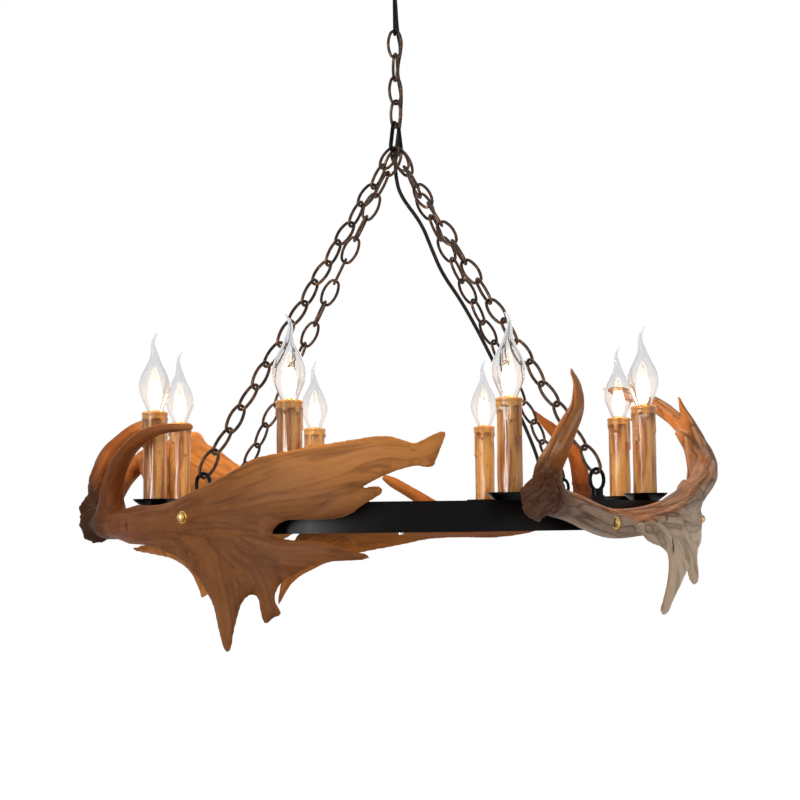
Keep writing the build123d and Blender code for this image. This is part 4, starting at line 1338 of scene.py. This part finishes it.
# %% [markdown]
# ## Bulbs
# A clear flame bulb is blown from one tube of glass, and its tip is drawn out into a bent tail.
# The envelope has an outer and an inner wall, so that it bends light as real glass does. Inside
# it are a glass stem and a filament that goes up and down round it like a cage. The tail turns a
# different way on each bulb, as bulbs do when they are screwed in by hand. Profiles are radius
# and height over the ring, in millimetres.

# %% Bulb sizes
bulb_low, bulb_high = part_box("bulb_1")
bulb_tip = bulb_high.z - ring_top
cap_low = bulb_low.z - ring_top
tail_turns = [10, 160, 205, 190, 150, 200, 170, 15]
envelope = [
    (8.4, 97), (8.6, 103), (10.6, 109), (14.0, 117), (16.6, 124.5), (17.4, 131), (16.9, 137),
    (15.0, 143.5), (12.2, 149.5), (9.0, 155.5), (6.4, 161), (4.7, 166.5), (3.5, 172), (2.7, 177),
    (2.1, 182), (1.5, 187), (1.0, 190.2),
]
solid_tail = 187  # the height from which the drawn-out tip is all glass
tip = (0.45, 190.9)
tail_bend = [(163, 0.0), (168, 0.5), (173, 1.4), (178, 2.0), (182, 1.5), (186, 0.0),
             (190.2, -2.6)]
stem_profile = [(3.4, 98.5), (3.2, 104), (1.9, 108), (1.6, 118), (1.6, 128), (2.4, 134),
                (1.4, 136)]
strand = [(3.4, 107), (5.9, 113), (7.2, 120), (6.6, 128), (4.2, 136)]
glass_wall = 0.8
bulb_middle = 0.124  # above the ring's top, in metres
print("bulb tip above ring", round(bulb_tip, 4))


# %% Glass
def turned(profile, segments):
    """A lathe's points and faces from a profile in millimetres."""
    return lathe([(radius * mm, height * mm) for radius, height in profile], segments)


def tail_offset(height):
    return float(np.interp(height, *zip(*tail_bend)))


def glass_envelope():
    """Outer wall up to the tip, then the inner wall back down, joined at the mouth."""
    segments = 56
    outer = smooth_path(envelope, 3)
    inner = [(max(r - glass_wall, 0.25), h) for r, h in outer if h < solid_tail]
    points, faces = turned([*outer, tip], segments)
    shift = len(points)
    faces.append(tuple(range(shift - segments, shift)))
    inside, inner_faces = turned(inner, segments)
    points += inside
    inner_faces.append(tuple(range(len(inside) - segments, len(inside))))
    faces += [tuple(shift + i for i in reversed(face)) for face in inner_faces]
    for k in range(segments):
        n = (k + 1) % segments
        faces.append((k, shift + k, shift + n, n))
    return [(x + tail_offset(z / mm) * mm, y, z) for x, y, z in points], faces


# %% Filament and cap
def spline_mesh(name, route, wire_radius=0.0, per_span=12):
    """The mesh of a smooth line near the points, as a round wire or, without a radius, bare."""
    curve = bpy.data.curves.new(name, "CURVE")
    curve.dimensions = "3D"
    curve.resolution_u = per_span
    curve.bevel_depth = wire_radius
    curve.bevel_resolution = 3
    curve.use_fill_caps = True
    spline = curve.splines.new("NURBS")
    spline.points.add(len(route) - 1)
    for point, at in zip(spline.points, route):
        point.co = (*at, 1)
    spline.order_u = 3
    spline.use_endpoint_u = True
    holder = bpy.data.objects.new(name + "_line", curve)
    bpy.context.scene.collection.objects.link(holder)
    bpy.context.view_layer.update()
    mesh = bpy.data.meshes.new_from_object(holder)
    bpy.data.objects.remove(holder)
    return mesh


def filament_route():
    """Up and down sixteen times, in a cage that bulges round the stem."""
    route = []
    for k in range(16):
        angle = 2 * math.pi * k / 16
        across = Vector((math.cos(angle), math.sin(angle), 0))
        for radius, height in strand if k % 2 == 0 else strand[::-1]:
            route.append((across * radius + Vector((0, 0, height))) * mm)
    return route


def screw_cap(place, number):
    """The brass cap: a lip, a rolled thread and a contact button."""
    turns = 5
    low, high = cap_low / mm + 3.2, 94.0
    button = [(1.2, 0), (2.6, 0.3), (3.2, 1.6), (5.6, 2.8)]
    lip = [(6.6, 95.2), (6.6, 97.2), (7.6, 98.4), (7.4, 99.2)]

    def thread(height):
        def at(angle):
            wave = math.sin(2 * math.pi * turns * (height - low) / (high - low) - angle)
            return (6.25 + 0.35 * wave) * mm, height * mm
        return at

    rings = [(radius * mm, cap_low + height * mm) for radius, height in button]
    rings += [thread(h) for h in np.linspace(low, high, 46)]
    rings += [(radius * mm, height * mm) for radius, height in lip]
    points, faces = lathe(rings, 48)
    close_ends(points, faces, 48)
    made = make_piece(f"bulb_cap_{number}", points, faces, place)
    face_outwards(made)
    dress(made, brass)
    return made


# %% Glass, stem and glow
def clear_glass():
    """Clear glass with a painted warm glow round the filament, and painted shade towards its
    outline.
    """
    material, tree, shader, where = surface("clear_glass", Roughness=0.0, IOR=1.45,
                                            Transmission_Weight=1.0)
    # Painted glow: the clear glass is tinted warm round the filament's height.
    filament_glow_tint = attribute(tree, "filament_glow_tint")
    tint = mix_colour(tree, filament_glow_tint, (0.83, 0.83, 0.84), (0.97, 0.915, 0.87))
    # Painted shade: the glass turns grey where it faces away, towards its outline.
    grazing = add_node(tree, "ShaderNodeLayerWeight", Blend=0.5)
    rim = ramp(tree, grazing.outputs["Facing"], 0.35, 1.0)
    fill(tree, shader, Base_Color=mix_colour(tree, rim, tint, (0.50, 0.48, 0.47)))
    bump(tree, shader, noise(tree, where, 90.0, 2.0), 0.06, 0.002)
    return material


def stem_glass():
    material, tree, shader, where = surface("stem_glass", Roughness=0.06, IOR=1.45,
                                            Transmission_Weight=0.85)
    patch = place_group(tree, patches, where, Scale=300.0, Cover=0.5)
    fill(tree, shader, Base_Color=mix_colour(tree, patch, (1.0, 0.95, 0.88), (0.93, 0.87, 0.78)))
    return material


def hot_filament():
    material, tree, shader, where = surface("hot_filament", Roughness=0.5, Emission_Strength=7.0)
    patch = place_group(tree, patches, where, Scale=500.0, Cover=0.5)
    light = mix_colour(tree, patch, (1.0, 0.80, 0.50), (1.0, 0.74, 0.42))
    fill(tree, shader, Emission_Color=light, Base_Color=light)
    return material


glass = clear_glass()
inner_glass = stem_glass()
hot = hot_filament()


# %% One bulb
def glow_lamp(number):
    """The light that a filament gives to the candle and the antlers near it."""
    data = bpy.data.lights.new(f"glow_{number}", "POINT")
    data.energy = 0.8
    data.color = (1.0, 0.72, 0.42)
    data.shadow_soft_size = 0.016
    lamp = bpy.data.objects.new(f"glow_{number}", data)
    lamp.location = lamp_place(number) + Vector((0, 0, bulb_middle))
    lamp.visible_camera = False
    lamp.visible_glossy = False
    lamp.visible_transmission = False
    bpy.context.scene.collection.objects.link(lamp)


def bulb(number):
    place = Matrix.Translation(lamp_place(number))
    place = place @ Matrix.Rotation(math.radians(tail_turns[number - 1]), 4, "Z")
    points, faces = glass_envelope()
    shell = make_piece(f"glass_{number}", points, faces, place)
    heights = np.array(points)[:, 2] / mm
    # Painted glow of the filament: the glass is tinted warm round its height.
    point_attribute(shell.data, "filament_glow_tint", np.exp(-(((heights - 122) / 21) ** 2)))
    dress(shell, glass)
    points, faces = turned(smooth_path(stem_profile, 4), 28)
    close_ends(points, faces, 28)
    stem = make_piece(f"stem_{number}", points, faces, place)
    dress(stem, inner_glass)
    shell.visible_shadow = False
    stem.visible_shadow = False
    line = spline_mesh(f"filament_{number}", filament_route(), 0.5 * mm)
    line.transform(place)
    filament = link(f"filament_{number}", line)
    dress(filament, hot)
    cap = screw_cap(place, number)
    for piece in (shell, stem, filament, cap):
        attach(piece, f"lamp_bulb_{number}")
    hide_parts(f"bulb_{number}")
    glow_lamp(number)


for number in lamp_numbers:
    bulb(number)
print("bulbs", len(lamp_numbers))

# %% [markdown]
# ## Supply cable
# A round black cable leaves the canopy behind the drop chain, passes the hub, hangs in shallow
# bends beside the rear right leg and goes into the ring. It follows the same points as the CAD
# tube, but as one smooth line. The upper part crosses six swinging joints, so it is cut into
# stretches there. The last stretch goes with the ring, and the others stay where they are laid.

# %% Cable route
cable_radius = 2.25 * mm
hub_bar = Vector((0, 0, -245.5 * mm))
hub_turn = math.radians(70)
bar_direction = Vector((math.cos(hub_turn), math.sin(hub_turn), 0))
leg_spacing = 6.4 * mm  # between neighbouring legs on the hub's bar
eye_height = 32.5 * mm  # where a leg chain ends above the ring
leg_start = hub_bar + bar_direction * (1.5 * leg_spacing)
leg_end = on_lamp_circle(135, ring_top + eye_height)
leg_way = (leg_end - leg_start).normalized()
inwards = Vector((-leg_end.x, -leg_end.y, 0)).normalized()
below = (inwards - leg_way * inwards.dot(leg_way)).normalized()
entry = on_lamp_circle(140, 0)
drop_points = [(0, 17, -23), (0, 17, -42), (1.5, 15.5, -66), (3, 15, -98), (7.5, 14.5, -118),
               (4, 14.3, -133), (2.4, 14.2, -147), (4.5, 14.2, -160), (7, 14.2, -174),
               (6, 14.3, -188), (5.6, 14.8, -202), (3, 17, -218), (-1, 23.5, -246),
               (-1, 25.5, -268), (4, 24, -292)]
leg_points = [(84, 18), (116, 22), (150, 25), (188, 18), (228, 14.8), (268, 14.5), (308, 14.8),
              (348, 15), (388, 16.5), (424, 21)]
entry_turn = 50 * mm  # over the ring, where the cable turns down to it
print("cable enters the ring at", entry.to_tuple(3))

# %% [markdown]
# Points beside the drop chain are x, y, z in millimetres. Points beside the leg chain say how
# far down the leg they are and how far off it, on its underside.

# %% Cable line
route = [Vector(p) * mm for p in drop_points]
route += [leg_start + (leg_way * along + below * out) * mm for along, out in leg_points]
route += [Vector((entry.x - 9 * mm, entry.y - 3 * mm, ring_top + entry_turn)),
          Vector((entry.x, entry.y, ring_top + 24 * mm)),
          Vector((entry.x, entry.y, ring_low.z + 8.9 * mm))]


def tube(name, line, radius, sides=14):
    """A closed round tube whose rings turn as little as they can."""
    points = []
    across = Vector((1, 0, 0))
    for i, at in enumerate(line):
        way = (line[min(i + 1, len(line) - 1)] - line[max(i - 1, 0)]).normalized()
        across = (across - way * across.dot(way)).normalized()
        other = way.cross(across)
        for k in range(sides):
            angle = 2 * math.pi * k / sides
            points.append(at + (across * math.cos(angle) + other * math.sin(angle)) * radius)
    faces = join_rings(len(line), sides)
    close_ends(points, faces, sides)
    return make_piece(name, points, faces)


# %% Cut the cable where the chain's joints bend it
cable_line = [v.co.copy() for v in spline_mesh("cable", route, per_span=10).vertices]
cuts = [-79, -118.5, -146, -174, -201.7, -240]
stretch_ends = [0]
for cut in cuts:
    stretch_ends.append(next(i for i, p in enumerate(cable_line) if p.z < cut * mm))
stretch_ends.append(len(cable_line) - 1)
for index, (first, last) in enumerate(zip(stretch_ends, stretch_ends[1:])):
    stretch = tube(f"cable_part_{index + 1}", cable_line[first:last + 1], cable_radius)
    dress(stretch, cable_black)
    if index < len(cuts):
        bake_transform(stretch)
    else:
        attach(stretch, "lamp_ring")
    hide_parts("supply_cable")
cable_length = sum((b - a).length for a, b in zip(cable_line, cable_line[1:]))
print("cable length", round(cable_length, 3))

# %% Import json
import json
